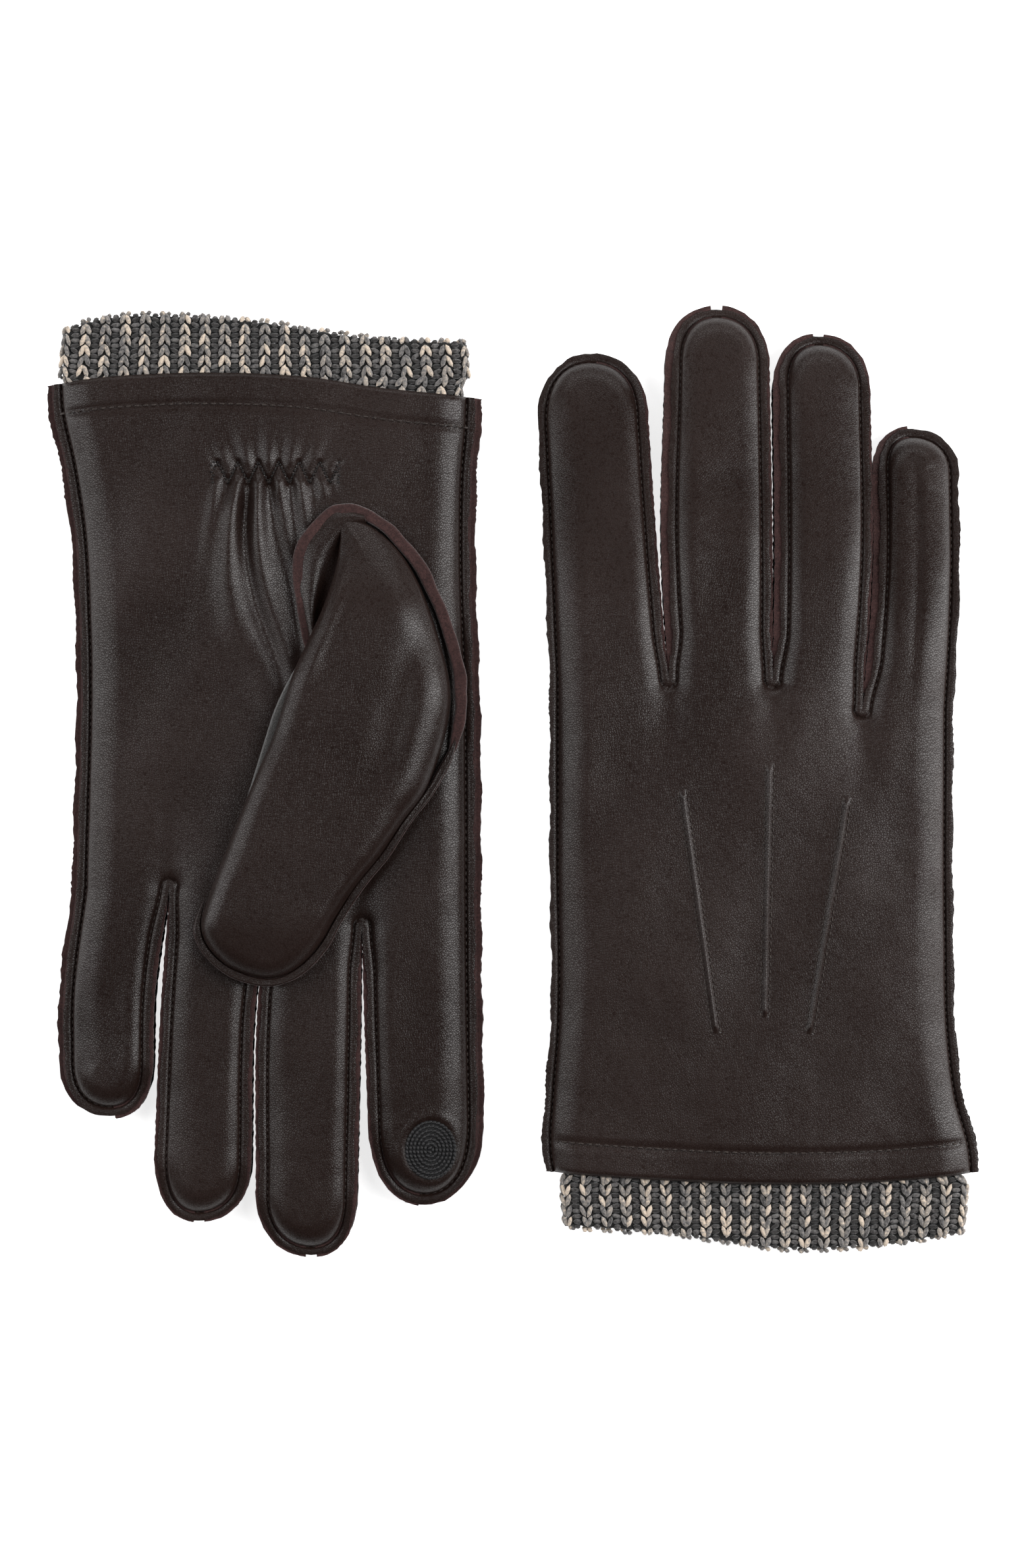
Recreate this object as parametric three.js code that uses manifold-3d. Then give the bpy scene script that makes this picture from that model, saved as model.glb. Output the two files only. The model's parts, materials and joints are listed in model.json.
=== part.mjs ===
// A pair of lined leather touchscreen gloves with knitted rib cuffs, laid side by side.
//
// Frame: millimetres, +Z up, origin under the middle of the pair, on the surface they lie on.
// Each glove is modelled in a frame of its own, as a right hand lying flat with its back up:
// X across the palm (thumb side at -X), Y along the fingers, Z = 0 halfway through the hand.
// The right glove lies palm down with its thumb folded under it. The left glove is the mirror
// image, turned over, so that its palm and its folded thumb face up and its fingers point to -Y.
import * as THREE from "three";
import { mergeVertices } from "three/addons/utils/BufferGeometryUtils.js";
import Module from "manifold-3d";

const wasm = await Module();
wasm.setup();

// ---- Driving dimensions ----

// Materials, as thicknesses.
const LEATHER = 1.2;
const LINING = 1.5;
const RIB_KNIT = 2.0;
const ELASTIC = 0.8;
const PATCH = 0.45;

// Clearance between pieces that are sewn together or lie on each other.
const GAP = 0.3;

// Sewn edges: the leather stands out past the stitches by this much.
const FLANGE = 2.8;

// Hand and fingers, empty and pressed flat.
const BODY_HEIGHT = 13;
const FLANK_HEIGHT = 5.2;
const HAND_BEVEL = 9;
const FINGER_BEVEL = 5;

// Thumb, folded flat over the palm.
const THUMB_HEIGHT = 11;
const THUMB_FLANK = 4.8;
const THUMB_BEVEL = 6;
const THUMB_HOLE = { fromEdge: 27.2, y: -38, across: 22, along: 40 };

// Lengths along the glove, measured from the middle of the hand.
const CROTCH_Y = 22;
const WRIST_Y = -45;
const HEM_Y = -107;
const RIB_LENGTH = 28;
const RIB_INSIDE = 9;

// Widths at the roots of the fingers. Together they make the width of the palm.
const ROOT_WIDTHS = { index: 31.2, middle: 29.4, ring: 24.8, little: 25.0 };

// The cuff flares from the wrist to the hem, more on the little finger's side.
const HEM_WIDTH = 118;
const HEM_OFFSET = 3;

// Each finger bends at its middle knuckle, clear of the tip of the folded thumb.
const KNUCKLE_Y = { index: 52, middle: 60, ring: 57, little: 45 };

// Above this line the fingers stand free, side by side and straight.
const SPREAD_Y = 44;

// A fingertip narrows and thins over this length.
const TIP_ROUNDING = 7;

// Side walls (fourchettes) between neighbouring fingers.
const SIDEWALL_HEIGHT = 5.4;
const SIDEWALL_SHORT_OF_TIP = 7;

// Gathering elastic inside the wrist, on the palm side, in the middle of the glove.
const ELASTIC_BAND = { fromHem: 21.5, across: 36, along: 6 };

// Conductive patch on the palm side of the index fingertip.
const TOUCH_PATCH = { across: 14.1, along: 16.4, belowTip: 16 };

// How each glove lies: where its middle is, how far the edges of its fingers spread
// (outer index edge, three gaps, outer little edge), and for each fingertip how far it leans
// from the middle of its finger and how far it reaches from the middle of the hand.
const GLOVES = {
  right: {
    x: 65.5,
    spread: [-2.0, -0.6, 0.5, 3.2, 2.7],
    tips: { index: [-3.1, 117.3], middle: [0.5, 130.5], ring: [-0.2, 122.7], little: [-0.2, 96.7] },
  },
  left: {
    x: -64,
    spread: [-0.8, 0.9, 0.8, 3.8, 5.8],
    tips: { index: [-0.8, 116.2], middle: [-0.8, 130.3], ring: [1.4, 120.7], little: [-0.5, 92.2] },
  },
};

// Colours and finishes.
const FINISHES = {
  leather: { color: 0x2b2120, roughness: 0.55, metalness: 0 },
  lining: { color: 0x37322f, roughness: 0.95, metalness: 0 },
  rib: { color: 0x6b645f, roughness: 0.95, metalness: 0 },
  elastic: { color: 0x1c1a1a, roughness: 0.8, metalness: 0 },
  patch: { color: 0x141314, roughness: 0.7, metalness: 0 },
};

// ---- Derived sizes ----

const FINGERS = Object.keys(ROOT_WIDTHS);
const PALM_WIDTH = FINGERS.reduce((sum, name) => sum + ROOT_WIDTHS[name], 0);
const HALF_BODY = BODY_HEIGHT / 2;
const HALF_THUMB = THUMB_HEIGHT / 2;
const THUMB_Z = -HALF_BODY - GAP - HALF_THUMB;
const LINING_INSET = LEATHER + GAP;
const CAVITY_INSET = LINING_INSET + LINING;
const RIB_CAVITY_INSET = LINING_INSET + RIB_KNIT;
const RIB_TOP_Y = HEM_Y + RIB_INSIDE;
const RIB_END_Y = RIB_TOP_Y - RIB_LENGTH;
const HALF_SIDEWALL = SIDEWALL_HEIGHT / 2;
const FAR = 400;

// Edges of the finger roots across the palm, from the index side to the little finger's side.
const ROOT_EDGES = FINGERS.reduce(
  (edges, name) => [...edges, edges.at(-1) + ROOT_WIDTHS[name]],
  [-PALM_WIDTH / 2],
);

// ---- Solids ----

// A closed mesh becomes a solid that can be joined and cut.
function solid(geometry) {
  const bare = new THREE.BufferGeometry();
  bare.setAttribute("position", geometry.getAttribute("position"));
  bare.setIndex(geometry.index);
  const merged = mergeVertices(bare, 1e-4);
  const triVerts = new Uint32Array(merged.index.array);
  const vertProperties = merged.attributes.position.array;
  return new wasm.Manifold(new wasm.Mesh({ numProp: 3, vertProperties, triVerts }));
}

// A solid becomes a three.js geometry again.
function geometryOf(body) {
  const mesh = body.getMesh();
  const stride = mesh.numProp;
  const points = new Float32Array(mesh.numVert * 3);
  for (let i = 0; i < mesh.numVert; i++) {
    points.set(mesh.vertProperties.subarray(i * stride, i * stride + 3), i * 3);
  }
  const geometry = new THREE.BufferGeometry();
  geometry.setAttribute("position", new THREE.BufferAttribute(points, 3));
  geometry.setIndex(new THREE.BufferAttribute(mesh.triVerts, 1));
  return geometry;
}

const join = (bodies) => bodies.reduce((all, body) => all.add(body));
const cut = (body, tools) => tools.reduce((rest, tool) => rest.subtract(tool), body);

// A block between two corners.
function block([x0, x1], [y0, y1], [z0, z1]) {
  const geometry = new THREE.BoxGeometry(x1 - x0, y1 - y0, z1 - z0);
  geometry.translate((x0 + x1) / 2, (y0 + y1) / 2, (z0 + z1) / 2);
  return solid(geometry);
}

// An upright elliptical column.
function column({ x, y, across, along }, [z0, z1]) {
  const geometry = new THREE.CylinderGeometry(0.5, 0.5, z1 - z0, 28);
  geometry.rotateX(Math.PI / 2);
  geometry.scale(across, along, 1);
  geometry.translate(x, y, (z0 + z1) / 2);
  return solid(geometry);
}

// A body through a row of sections that stand across Y. It is a lathe turning whose rings are
// moved onto the sections' corners, which run from +Z round to +X.
function loft(rows) {
  const last = rows.length - 1;
  const rings = rows.map((row, step) => new THREE.Vector2(1, step));
  const profile = [new THREE.Vector2(0, 0), ...rings, new THREE.Vector2(0, last)];
  const sides = rows[0].corners.length;
  const geometry = new THREE.LatheGeometry(profile, sides);
  const position = geometry.getAttribute("position");
  for (let k = 0; k < position.count; k++) {
    const side = Math.floor(k / profile.length) % sides;
    const step = k % profile.length;
    const row = rows[Math.min(Math.max(step - 1, 0), last)];
    const isPole = step === 0 || step === profile.length - 1;
    const [x, z] = isPole ? [row.x, row.z] : row.corners[side];
    position.setXYZ(k, x, row.y, z);
  }
  return solid(geometry);
}

// The eight corners of a flattened tube's section: a flat top and bottom, slanting shoulders and
// upright flanks, all moved inwards by inset along their own normals.
function tubeSection({ x, z, half, height, flank, bevel }, inset) {
  const slope = (height - flank) / bevel;
  const diagonal = Math.hypot(1, slope);
  const edge = half - inset;
  const top = height - inset;
  const shoulder = half - bevel - (inset * (diagonal - 1)) / slope;
  const side = flank - inset * (diagonal - slope);
  const right = [
    [shoulder, top],
    [edge, side],
    [edge, -side],
    [shoulder, -top],
  ];
  const left = right.map(([u, w]) => [-u, w]).reverse();
  return [...right, ...left].map(([u, w]) => [x + u, z + w]);
}

// A flattened tube through rows, inset all over. Its ends move in too, by endInsets.
function tube(rows, inset, [startInset, endInset] = [inset, inset]) {
  const last = rows.length - 1;
  return loft(
    rows.map((row, i) => ({
      x: row.x,
      z: row.z,
      y: row.y + (i === 0 ? startInset : 0) - (i === last ? endInset : 0),
      corners: tubeSection(row, inset),
    })),
  );
}

// A flat plate that stands out past a tube's flanks by the width of the sewn edge.
function plate(rows, [z0, z1], [startGrowth, endGrowth] = [FLANGE, FLANGE]) {
  const last = rows.length - 1;
  return loft(
    rows.map((row, i) => {
      const edge = row.half + FLANGE;
      return {
        x: row.x,
        z: (z0 + z1) / 2,
        y: row.y - (i === 0 ? startGrowth : 0) + (i === last ? endGrowth : 0),
        corners: [
          [row.x + edge, z1],
          [row.x + edge, z0],
          [row.x - edge, z0],
          [row.x - edge, z1],
        ],
      };
    }),
  );
}

// A full-height prism between two edges that change with Y.
function prism(rows) {
  return loft(
    rows.map(({ y, left, right }) => ({
      x: (left + right) / 2,
      z: 0,
      y,
      corners: [
        [right, FAR],
        [right, -FAR],
        [left, -FAR],
        [left, FAR],
      ],
    })),
  );
}

// ---- Rows of the hand, fingers and thumb ----

const mix = (a, b, t) => a + (b - a) * t;

// The hand, from the hem to the crotches between the fingers.
const HAND_ROWS = [
  { y: HEM_Y, flare: 1 },
  { y: mix(HEM_Y, WRIST_Y, 0.3), flare: 0.65 },
  { y: mix(HEM_Y, WRIST_Y, 0.62), flare: 0.2 },
  { y: WRIST_Y, flare: 0 },
  { y: CROTCH_Y, flare: 0 },
].map(({ y, flare }) => ({
  y,
  x: mix(0, HEM_OFFSET, flare),
  z: 0,
  half: mix(PALM_WIDTH, HEM_WIDTH, flare) / 2 - FLANGE,
  height: HALF_BODY,
  flank: FLANK_HEIGHT / 2,
  bevel: HAND_BEVEL,
}));

// The same, running on past the hem, for what opens there.
const OPEN_HAND_ROWS = [{ ...HAND_ROWS[0], y: HEM_Y - RIB_LENGTH }, ...HAND_ROWS];

// The hand's section at any Y between its rows, and as at the hem below it.
function handRowAt(y) {
  const next = HAND_ROWS.findIndex((row) => row.y > y);
  if (next < 1) return { ...HAND_ROWS[0], y };
  const [low, high] = [HAND_ROWS[next - 1], HAND_ROWS[next]];
  const t = (y - low.y) / (high.y - low.y);
  return { ...low, y, x: mix(low.x, high.x, t), half: mix(low.half, high.half, t) };
}

// One finger, from inside the hand to its rounded tip.
function fingerRows(glove, name) {
  const i = FINGERS.indexOf(name);
  const [tipLean, tipY] = glove.tips[name];
  const endY = tipY - FLANGE;
  const tipWall = CAVITY_INSET + GAP;
  const rootX = (ROOT_EDGES[i] + ROOT_EDGES[i + 1]) / 2;
  const rootHalf = (ROOT_EDGES[i + 1] - ROOT_EDGES[i]) / 2;
  const freeX = rootX + (glove.spread[i] + glove.spread[i + 1]) / 2;
  const freeHalf = rootHalf + (glove.spread[i + 1] - glove.spread[i]) / 2;
  const tipX = freeX + tipLean;
  const shape = [
    { y: CROTCH_Y - HAND_BEVEL, x: rootX, outer: rootHalf, share: 1, thick: 1 },
    { y: CROTCH_Y, x: rootX, outer: rootHalf, share: 1, thick: 1 },
    { y: SPREAD_Y, x: freeX, outer: freeHalf, share: 1, thick: 1 },
    { y: endY - TIP_ROUNDING, x: mix(freeX, tipX, 0.8), outer: freeHalf, share: 0.97, thick: 1 },
    { y: endY - mix(TIP_ROUNDING, tipWall, 0.5), x: tipX, outer: freeHalf, share: 0.9, thick: 0.95 },
    { y: endY - tipWall, x: tipX, outer: freeHalf, share: 0.78, thick: 0.86 },
    { y: endY, x: tipX, outer: freeHalf, share: 0.52, thick: 0.66 },
  ];
  return shape.map(({ y, x, outer, share, thick }) => {
    const half = (outer - FLANGE) * share;
    return {
      y,
      x,
      z: 0,
      half,
      height: HALF_BODY * thick,
      flank: (FLANK_HEIGHT / 2) * thick,
      bevel: Math.min(FINGER_BEVEL, half * 0.45),
    };
  });
}

// The thumb, as it lies over the palm: the two edges of its sewn outline, from the index side
// of the palm.
const THUMB_ROWS = [
  { y: -72, near: 24.2, far: 46.2, thick: 0.75 },
  { y: -66, near: 20.2, far: 48.2, thick: 1 },
  { y: -58, near: 15.2, far: 48.9, thick: 1 },
  { y: -41, near: 8.4, far: 49.2, thick: 1 },
  { y: -24, near: 4.9, far: 53.2, thick: 1 },
  { y: -5, near: 9.7, far: 59.8, thick: 1 },
  { y: 15, near: 23.2, far: 68.0, thick: 1 },
  { y: 35, near: 37.5, far: 75.2, thick: 1 },
  { y: 45, near: 44.2, far: 73.2, thick: 0.92 },
  { y: 50.5, near: 48.7, far: 68.2, thick: 0.75 },
].map(({ y, near, far, thick }) => {
  const half = (far - near) / 2 - FLANGE;
  return {
    y,
    x: (near + far) / 2 - PALM_WIDTH / 2,
    z: THUMB_Z,
    half,
    height: HALF_THUMB * thick,
    flank: (THUMB_FLANK / 2) * thick,
    bevel: Math.min(THUMB_BEVEL, half * 0.45),
  };
});

// ---- One glove ----

// Where the edge between two neighbouring fingers is: it leans out up to the spread line.
const edgeX = (glove, k, y) => ROOT_EDGES[k] + (y < SPREAD_Y ? 0 : glove.spread[k]);

// The space that belongs to one finger: up to the middle of the gaps beside it.
function fingerCell(glove, name) {
  const i = FINGERS.indexOf(name);
  const side = (k, y, sign) => {
    const isOutside = k === 0 || k === FINGERS.length;
    return isOutside ? sign * FAR : edgeX(glove, k, y) - (sign * GAP) / 2;
  };
  return prism([CROTCH_Y, SPREAD_Y, FAR].map((y) => ({ y, left: side(i, y, -1), right: side(i + 1, y, 1) })));
}

// The space beside two neighbouring fingers that their side walls fill, from the middle of one
// to the middle of the other, and from the crotch to just short of both tips.
function sidewallZone(glove, first, second, halfHeight) {
  const zones = [first, second].map((name) => {
    const [, root, free] = fingerRows(glove, name);
    const endY = glove.tips[name][1] - SIDEWALL_SHORT_OF_TIP;
    const between = (y, x) => {
      const sides = [x, edgeX(glove, FINGERS.indexOf(second), y)];
      return { y, left: Math.min(...sides), right: Math.max(...sides) };
    };
    return prism([
      between(CROTCH_Y - LEATHER - GAP / 2, root.x),
      between(SPREAD_Y, free.x),
      between(endY, free.x),
    ]);
  });
  return join(zones).intersect(block([-FAR, FAR], [-FAR, FAR], [-halfHeight, halfHeight]));
}

// Everything between two Y planes.
const slice = (y0, y1) => block([-FAR, FAR], [y0, y1], [-FAR, FAR]);

function makeGlove(glove) {
  const pieces = [];
  const keep = (name, body, finish, finger = null) => pieces.push({ name, body, finish, finger });
  const fingers = FINGERS.map((name) => ({
    name,
    rows: fingerRows(glove, name),
    cell: fingerCell(glove, name),
    knuckleY: KNUCKLE_Y[name],
    tipY: glove.tips[name][1],
  }));

  // The hand's and fingers' outside, and the spaces inside the leather and inside the lining.
  const bodyAt = (inset) =>
    join([
      tube(inset ? OPEN_HAND_ROWS : HAND_ROWS, inset, [0, inset]),
      ...fingers.map(({ rows }) => tube(rows, inset, [0, inset])),
    ]);
  const outside = bodyAt(0);
  const insideLeather = bodyAt(LEATHER);
  const outsideLining = bodyAt(LINING_INSET);
  const cavity = bodyAt(CAVITY_INSET);
  const leatherWall = outside.subtract(insideLeather);

  // Sewn edges at one level, cut apart between the fingers.
  const edgesAt = (levels) =>
    join([
      plate(HAND_ROWS, levels, [0, 0]),
      ...fingers.map(({ rows, cell }) => plate(rows, levels, [0, FLANGE]).intersect(cell)),
    ]).subtract(insideLeather);

  const pairs = FINGERS.slice(1).map((second, k) => [FINGERS[k], second]);
  const walls = pairs.map(([a, b]) => sidewallZone(glove, a, b, HALF_SIDEWALL));
  const seams = pairs.map(([a, b]) => sidewallZone(glove, a, b, HALF_SIDEWALL + GAP));
  const columns = pairs.map(([a, b]) => sidewallZone(glove, a, b, FAR));

  // Back and palm leather: half of the wall each, with the sewn edges at mid-height, or above
  // and below the side walls where there are any.
  const face = (sign) => {
    const levels = (low, high) => (sign > 0 ? [low, high] : [-high, -low]);
    const half = block([-FAR, FAR], [-FAR, FAR], levels(GAP / 2, FAR));
    const low = edgesAt(levels(GAP / 2, GAP / 2 + LEATHER));
    const high = edgesAt(levels(HALF_SIDEWALL + GAP, HALF_SIDEWALL + GAP + LEATHER));
    const skin = cut(leatherWall.intersect(half).add(low), seams);
    return skin.add(high.intersect(join(columns)));
  };
  const faces = { back: face(1), palm: face(-1) };
  const thumbHole = column({ ...THUMB_HOLE, x: THUMB_HOLE.fromEdge - PALM_WIDTH / 2 }, [THUMB_Z, 0]);

  // Each finger beyond its knuckle moves by itself, so it is cut free there.
  const beyond = ({ knuckleY, cell }) => cell.intersect(slice(knuckleY + GAP / 2, FAR));
  const moving = fingers.map(({ cell, knuckleY }) => cell.intersect(slice(knuckleY - GAP / 2, FAR)));
  keep("back_panel", cut(faces.back, moving), "leather");
  keep("palm_panel", cut(faces.palm, [...moving, thumbHole]), "leather");

  const patchRow = fingers[0].rows[3];
  const patchY = fingers[0].tipY - TOUCH_PATCH.belowTip;
  const patch = { x: mix(fingers[0].rows[2].x, patchRow.x, 0.9), y: patchY, ...TOUCH_PATCH };
  const patchZ = -HALF_BODY + 0.05;
  const patchSeat = { ...patch, across: patch.across + 2 * GAP, along: patch.along + 2 * GAP };
  const seat = column(patchSeat, [-FAR, patchZ + PATCH + GAP / 2]);

  const liningShell = outsideLining.subtract(cavity);
  fingers.forEach((finger, i) => {
    const zone = beyond(finger);
    const palmStrip = faces.palm.intersect(zone);
    const { name } = finger;
    keep(name + "_back_strip", faces.back.intersect(zone), "leather", name);
    keep(name + "_palm_strip", i === 0 ? palmStrip.subtract(seat) : palmStrip, "leather", name);
    keep(name + "_lining", liningShell.intersect(zone), "lining", name);
    [i - 1, i].forEach((k) => {
      if (k < 0 || k >= pairs.length) return;
      const neighbour = pairs[k].find((other) => other !== name);
      const wall = leatherWall.intersect(walls[k]).intersect(zone);
      keep(name + "_sidewall_by_" + neighbour, wall, "leather", name);
    });
  });
  pairs.forEach(([a, b], k) => {
    const fork = cut(leatherWall.intersect(walls[k]), moving);
    keep("fourchette_" + a + "_" + b, fork, "leather");
  });
  keep("touch_patch", column(patch, [patchZ, patchZ + PATCH]), "patch", fingers[0].name);

  // Lining of the hand, from the top of the rib to the knuckles, open to the thumb.
  const elasticZ = -HALF_BODY + LINING_INSET;
  const { fromHem, across, along } = ELASTIC_BAND;
  const elasticY = HEM_Y + fromHem;
  const band = (grow, top) =>
    block(
      [-across / 2 - grow, across / 2 + grow],
      [elasticY - along / 2 - grow, elasticY + along / 2 + grow],
      [elasticZ - grow, elasticZ + top],
    );
  const handLining = liningShell.intersect(slice(RIB_TOP_Y + GAP, FAR));
  keep("hand_lining", cut(handLining, [...moving, thumbHole, band(GAP, ELASTIC + GAP)]), "lining");
  keep("wrist_elastic", band(0, ELASTIC), "elastic");

  // Rib cuff: a knitted tube sewn into the hem.
  const ribRows = [RIB_END_Y, HEM_Y, RIB_TOP_Y].map(handRowAt);
  const ribTube = tube(ribRows, LINING_INSET, [0, 0]);
  keep("rib_cuff", ribTube.subtract(tube(ribRows, RIB_CAVITY_INSET, [-1, -1])), "rib");

  // Thumb leather and its lining, both open to the hand.
  const thumbAt = (inset) => tube(THUMB_ROWS, inset);
  const thumbEdge = plate(THUMB_ROWS, [THUMB_Z - LEATHER, THUMB_Z + LEATHER]);
  const thumbLeather = cut(thumbAt(0).add(thumbEdge), [thumbAt(LEATHER), thumbHole]);
  const thumbLining = cut(thumbAt(LINING_INSET), [thumbAt(CAVITY_INSET), thumbHole]);
  keep("thumb_leather", thumbLeather, "leather");
  keep("thumb_lining", thumbLining, "lining");
  return pieces;
}

// ---- How the gloves lie ----

// The right hand is held up by its folded thumb, and each of its fingers slants down from the
// knuckle until the pad of the fingertip touches the surface.
const RIGHT_HEIGHT = HALF_BODY + GAP + THUMB_HEIGHT;
const FINGER_DROP = RIGHT_HEIGHT - HALF_BODY;

function slant(glove, name) {
  const padEndY = glove.tips[name][1] - TOUCH_PATCH.belowTip + TOUCH_PATCH.along / 2;
  return Math.asin(FINGER_DROP / (padEndY - KNUCKLE_Y[name]));
}

// A glove is a group with one more group in it for each finger, hinged at its knuckle.
function gloveGroup(side, glove, slantOf) {
  const group = new THREE.Group();
  const hinges = {};
  for (const name of FINGERS) {
    const hinge = new THREE.Group();
    hinge.position.set(0, KNUCKLE_Y[name], -HALF_BODY);
    hinge.rotation.x = -slantOf(name);
    hinges[name] = hinge;
    group.add(hinge);
  }
  for (const { name, body, finish, finger } of makeGlove(glove)) {
    const geometry = geometryOf(body);
    const home = finger ? hinges[finger] : group;
    if (finger) geometry.translate(0, -home.position.y, -home.position.z);
    geometry.computeVertexNormals();
    const mesh = new THREE.Mesh(geometry, new THREE.MeshStandardMaterial(FINISHES[finish]));
    mesh.name = side + "_" + name;
    home.add(mesh);
  }
  return group;
}

const rightGlove = gloveGroup("right", GLOVES.right, (name) => slant(GLOVES.right, name));
rightGlove.position.set(GLOVES.right.x, 0, RIGHT_HEIGHT);

const leftGlove = gloveGroup("left", GLOVES.left, () => 0);
leftGlove.position.set(GLOVES.left.x, 0, HALF_BODY);
leftGlove.rotation.x = Math.PI;
leftGlove.scale.x = -1;

// The origin is under the middle of the pair.
const pair = new THREE.Group();
pair.add(rightGlove, leftGlove);
const bounds = new THREE.Box3().setFromObject(pair, true);
const middle = bounds.getCenter(new THREE.Vector3());
pair.position.set(-middle.x, -middle.y, -bounds.min.z);

export default pair;
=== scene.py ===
# %% [markdown]
# # A pair of lined leather touchscreen gloves, modelled surface by surface
#
# Each glove is two flat leather shapes, a back and a palm, sewn edge to edge with the raw edges left
# outside. Narrow gussets run between the fingers, a thumb is sewn round a hole in the palm, and a
# ribbed knit cuff hangs out of the hem. The lesson makes these pieces one after another around a
# CAD frame that already fixes where everything is and how it moves.

import json

import bmesh
import bpy
import numpy as np
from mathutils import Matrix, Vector

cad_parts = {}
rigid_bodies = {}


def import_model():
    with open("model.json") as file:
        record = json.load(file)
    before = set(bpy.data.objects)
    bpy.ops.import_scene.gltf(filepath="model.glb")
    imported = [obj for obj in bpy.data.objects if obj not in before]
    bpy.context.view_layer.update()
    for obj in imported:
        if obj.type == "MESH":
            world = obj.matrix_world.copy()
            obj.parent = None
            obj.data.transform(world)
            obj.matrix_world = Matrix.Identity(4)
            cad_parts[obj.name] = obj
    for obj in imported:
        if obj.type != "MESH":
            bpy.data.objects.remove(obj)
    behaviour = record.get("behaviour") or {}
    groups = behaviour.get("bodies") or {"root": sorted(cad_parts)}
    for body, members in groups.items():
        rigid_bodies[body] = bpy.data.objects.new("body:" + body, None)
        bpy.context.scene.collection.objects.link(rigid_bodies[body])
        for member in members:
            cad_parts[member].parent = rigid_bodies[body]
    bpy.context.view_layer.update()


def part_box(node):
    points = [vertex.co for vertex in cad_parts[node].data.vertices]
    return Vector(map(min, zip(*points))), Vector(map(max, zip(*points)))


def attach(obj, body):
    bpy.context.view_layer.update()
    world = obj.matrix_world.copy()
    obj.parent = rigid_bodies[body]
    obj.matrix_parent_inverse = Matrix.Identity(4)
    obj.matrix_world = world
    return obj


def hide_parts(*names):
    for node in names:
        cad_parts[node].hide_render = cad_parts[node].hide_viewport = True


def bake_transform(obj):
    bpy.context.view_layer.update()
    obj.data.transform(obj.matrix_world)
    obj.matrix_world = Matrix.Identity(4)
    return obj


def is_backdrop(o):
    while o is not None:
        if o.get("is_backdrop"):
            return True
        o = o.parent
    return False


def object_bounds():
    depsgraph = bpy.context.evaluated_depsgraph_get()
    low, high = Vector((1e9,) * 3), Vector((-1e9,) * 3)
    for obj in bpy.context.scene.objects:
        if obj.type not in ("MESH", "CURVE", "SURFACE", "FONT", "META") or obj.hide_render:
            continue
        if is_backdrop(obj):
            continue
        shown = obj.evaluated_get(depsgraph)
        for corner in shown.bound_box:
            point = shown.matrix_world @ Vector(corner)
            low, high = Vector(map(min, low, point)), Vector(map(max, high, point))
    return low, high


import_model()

# %% [markdown]
# ## Two gloves, one pattern
#
# A left glove is the mirror image of a right one, so every surface is worked out once, in millimetres,
# for a right hand that lies flat with its back up: X across the palm with the thumb at -X, Y along the
# fingers, Z = 0 halfway through the hand. `place` then carries the points to where each glove lies.
# The right glove only moves. The left one is turned over and mirrored, which together is a point
# reflection. The wrist elastic of the frame sits on the middle line of each glove, so its box tells
# where that glove's own origin is.

# %% Where each glove lies
SIDES = ("right", "left")
FINGERS = ("index", "middle", "ring", "little")
ELASTIC_Y = -85.5
HALF_HAND = 6.5


def box_mm(node):
    """Lowest and highest corner of a frame node, in millimetres."""
    low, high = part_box(node)
    return np.array(low) * 1000, np.array(high) * 1000


def origin_of(side):
    """Middle of the elastic gives X and Y; the back panel's outermost face is half a hand from Z = 0."""
    sign = 1 if side == "right" else -1
    low, high = box_mm(side + "_wrist_elastic")
    back_low, back_high = box_mm(side + "_back_panel")
    height = back_high[2] - HALF_HAND if side == "right" else back_low[2] + HALF_HAND
    middle = (low + high) / 2
    return np.array([middle[0], middle[1] - sign * ELASTIC_Y, height])


ORIGIN = {side: origin_of(side) for side in SIDES}
print("glove origins:", {side: ORIGIN[side].round(2).tolist() for side in SIDES})

# %% [markdown]
# ## Knuckles
#
# Each finger of the frame turns about a line across its middle knuckle, low in the palm. The fingers
# of the right glove already droop about that line until their tips touch the surface it lies on.
# A soft finger doesn't kink, so the slope eases in over three and a half centimetres about that line.

# %% Knuckle lines and droop
DROOP_REACH = 17
PAD_DROP = 11.3
PAD_BELOW_TIP = 7.8


def smooth(t):
    """An ease from 0 to 1: 3t² - 2t³, with t held between 0 and 1."""
    t = np.clip(t, 0, 1)
    return t * t * (3 - 2 * t)


def mix(a, b, t):
    """The point that is the share t of the way from a to b."""
    return a + (b - a) * t


KNUCKLE_Y = {"index": 52, "middle": 60, "ring": 57, "little": 45}
FRAME_TIP_Y = {"index": 117.3, "middle": 130.5, "ring": 122.7, "little": 96.7}
DROOP = {
    finger: np.arcsin(PAD_DROP / (FRAME_TIP_Y[finger] - PAD_BELOW_TIP - KNUCKLE_Y[finger]))
    for finger in FINGERS
}
print("droop in degrees:", {f: round(float(np.degrees(a)), 1) for f, a in DROOP.items()})


def droop(points, finger):
    """Slopes a finger down past its knuckle. The slope eases in as smooth(t), so the height it loses is
    the integral of that, which in units of the whole reach is t^3 - t^4/2, and runs straight after it."""
    x, y, z = np.moveaxis(points, -1, 0)
    t = (y - KNUCKLE_Y[finger] + DROOP_REACH) / (2 * DROOP_REACH)
    angle = DROOP[finger] * smooth(t)
    held = np.clip(t, 0, 1)
    run = 2 * DROOP_REACH * (held**3 - held**4 / 2 + np.clip(t - 1, 0, None))
    rise = z + HALF_HAND
    turned_y = y + rise * np.sin(angle)
    turned_z = -HALF_HAND - run * np.tan(DROOP[finger]) + rise * np.cos(angle)
    return np.stack([x, turned_y, turned_z], -1)


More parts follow.
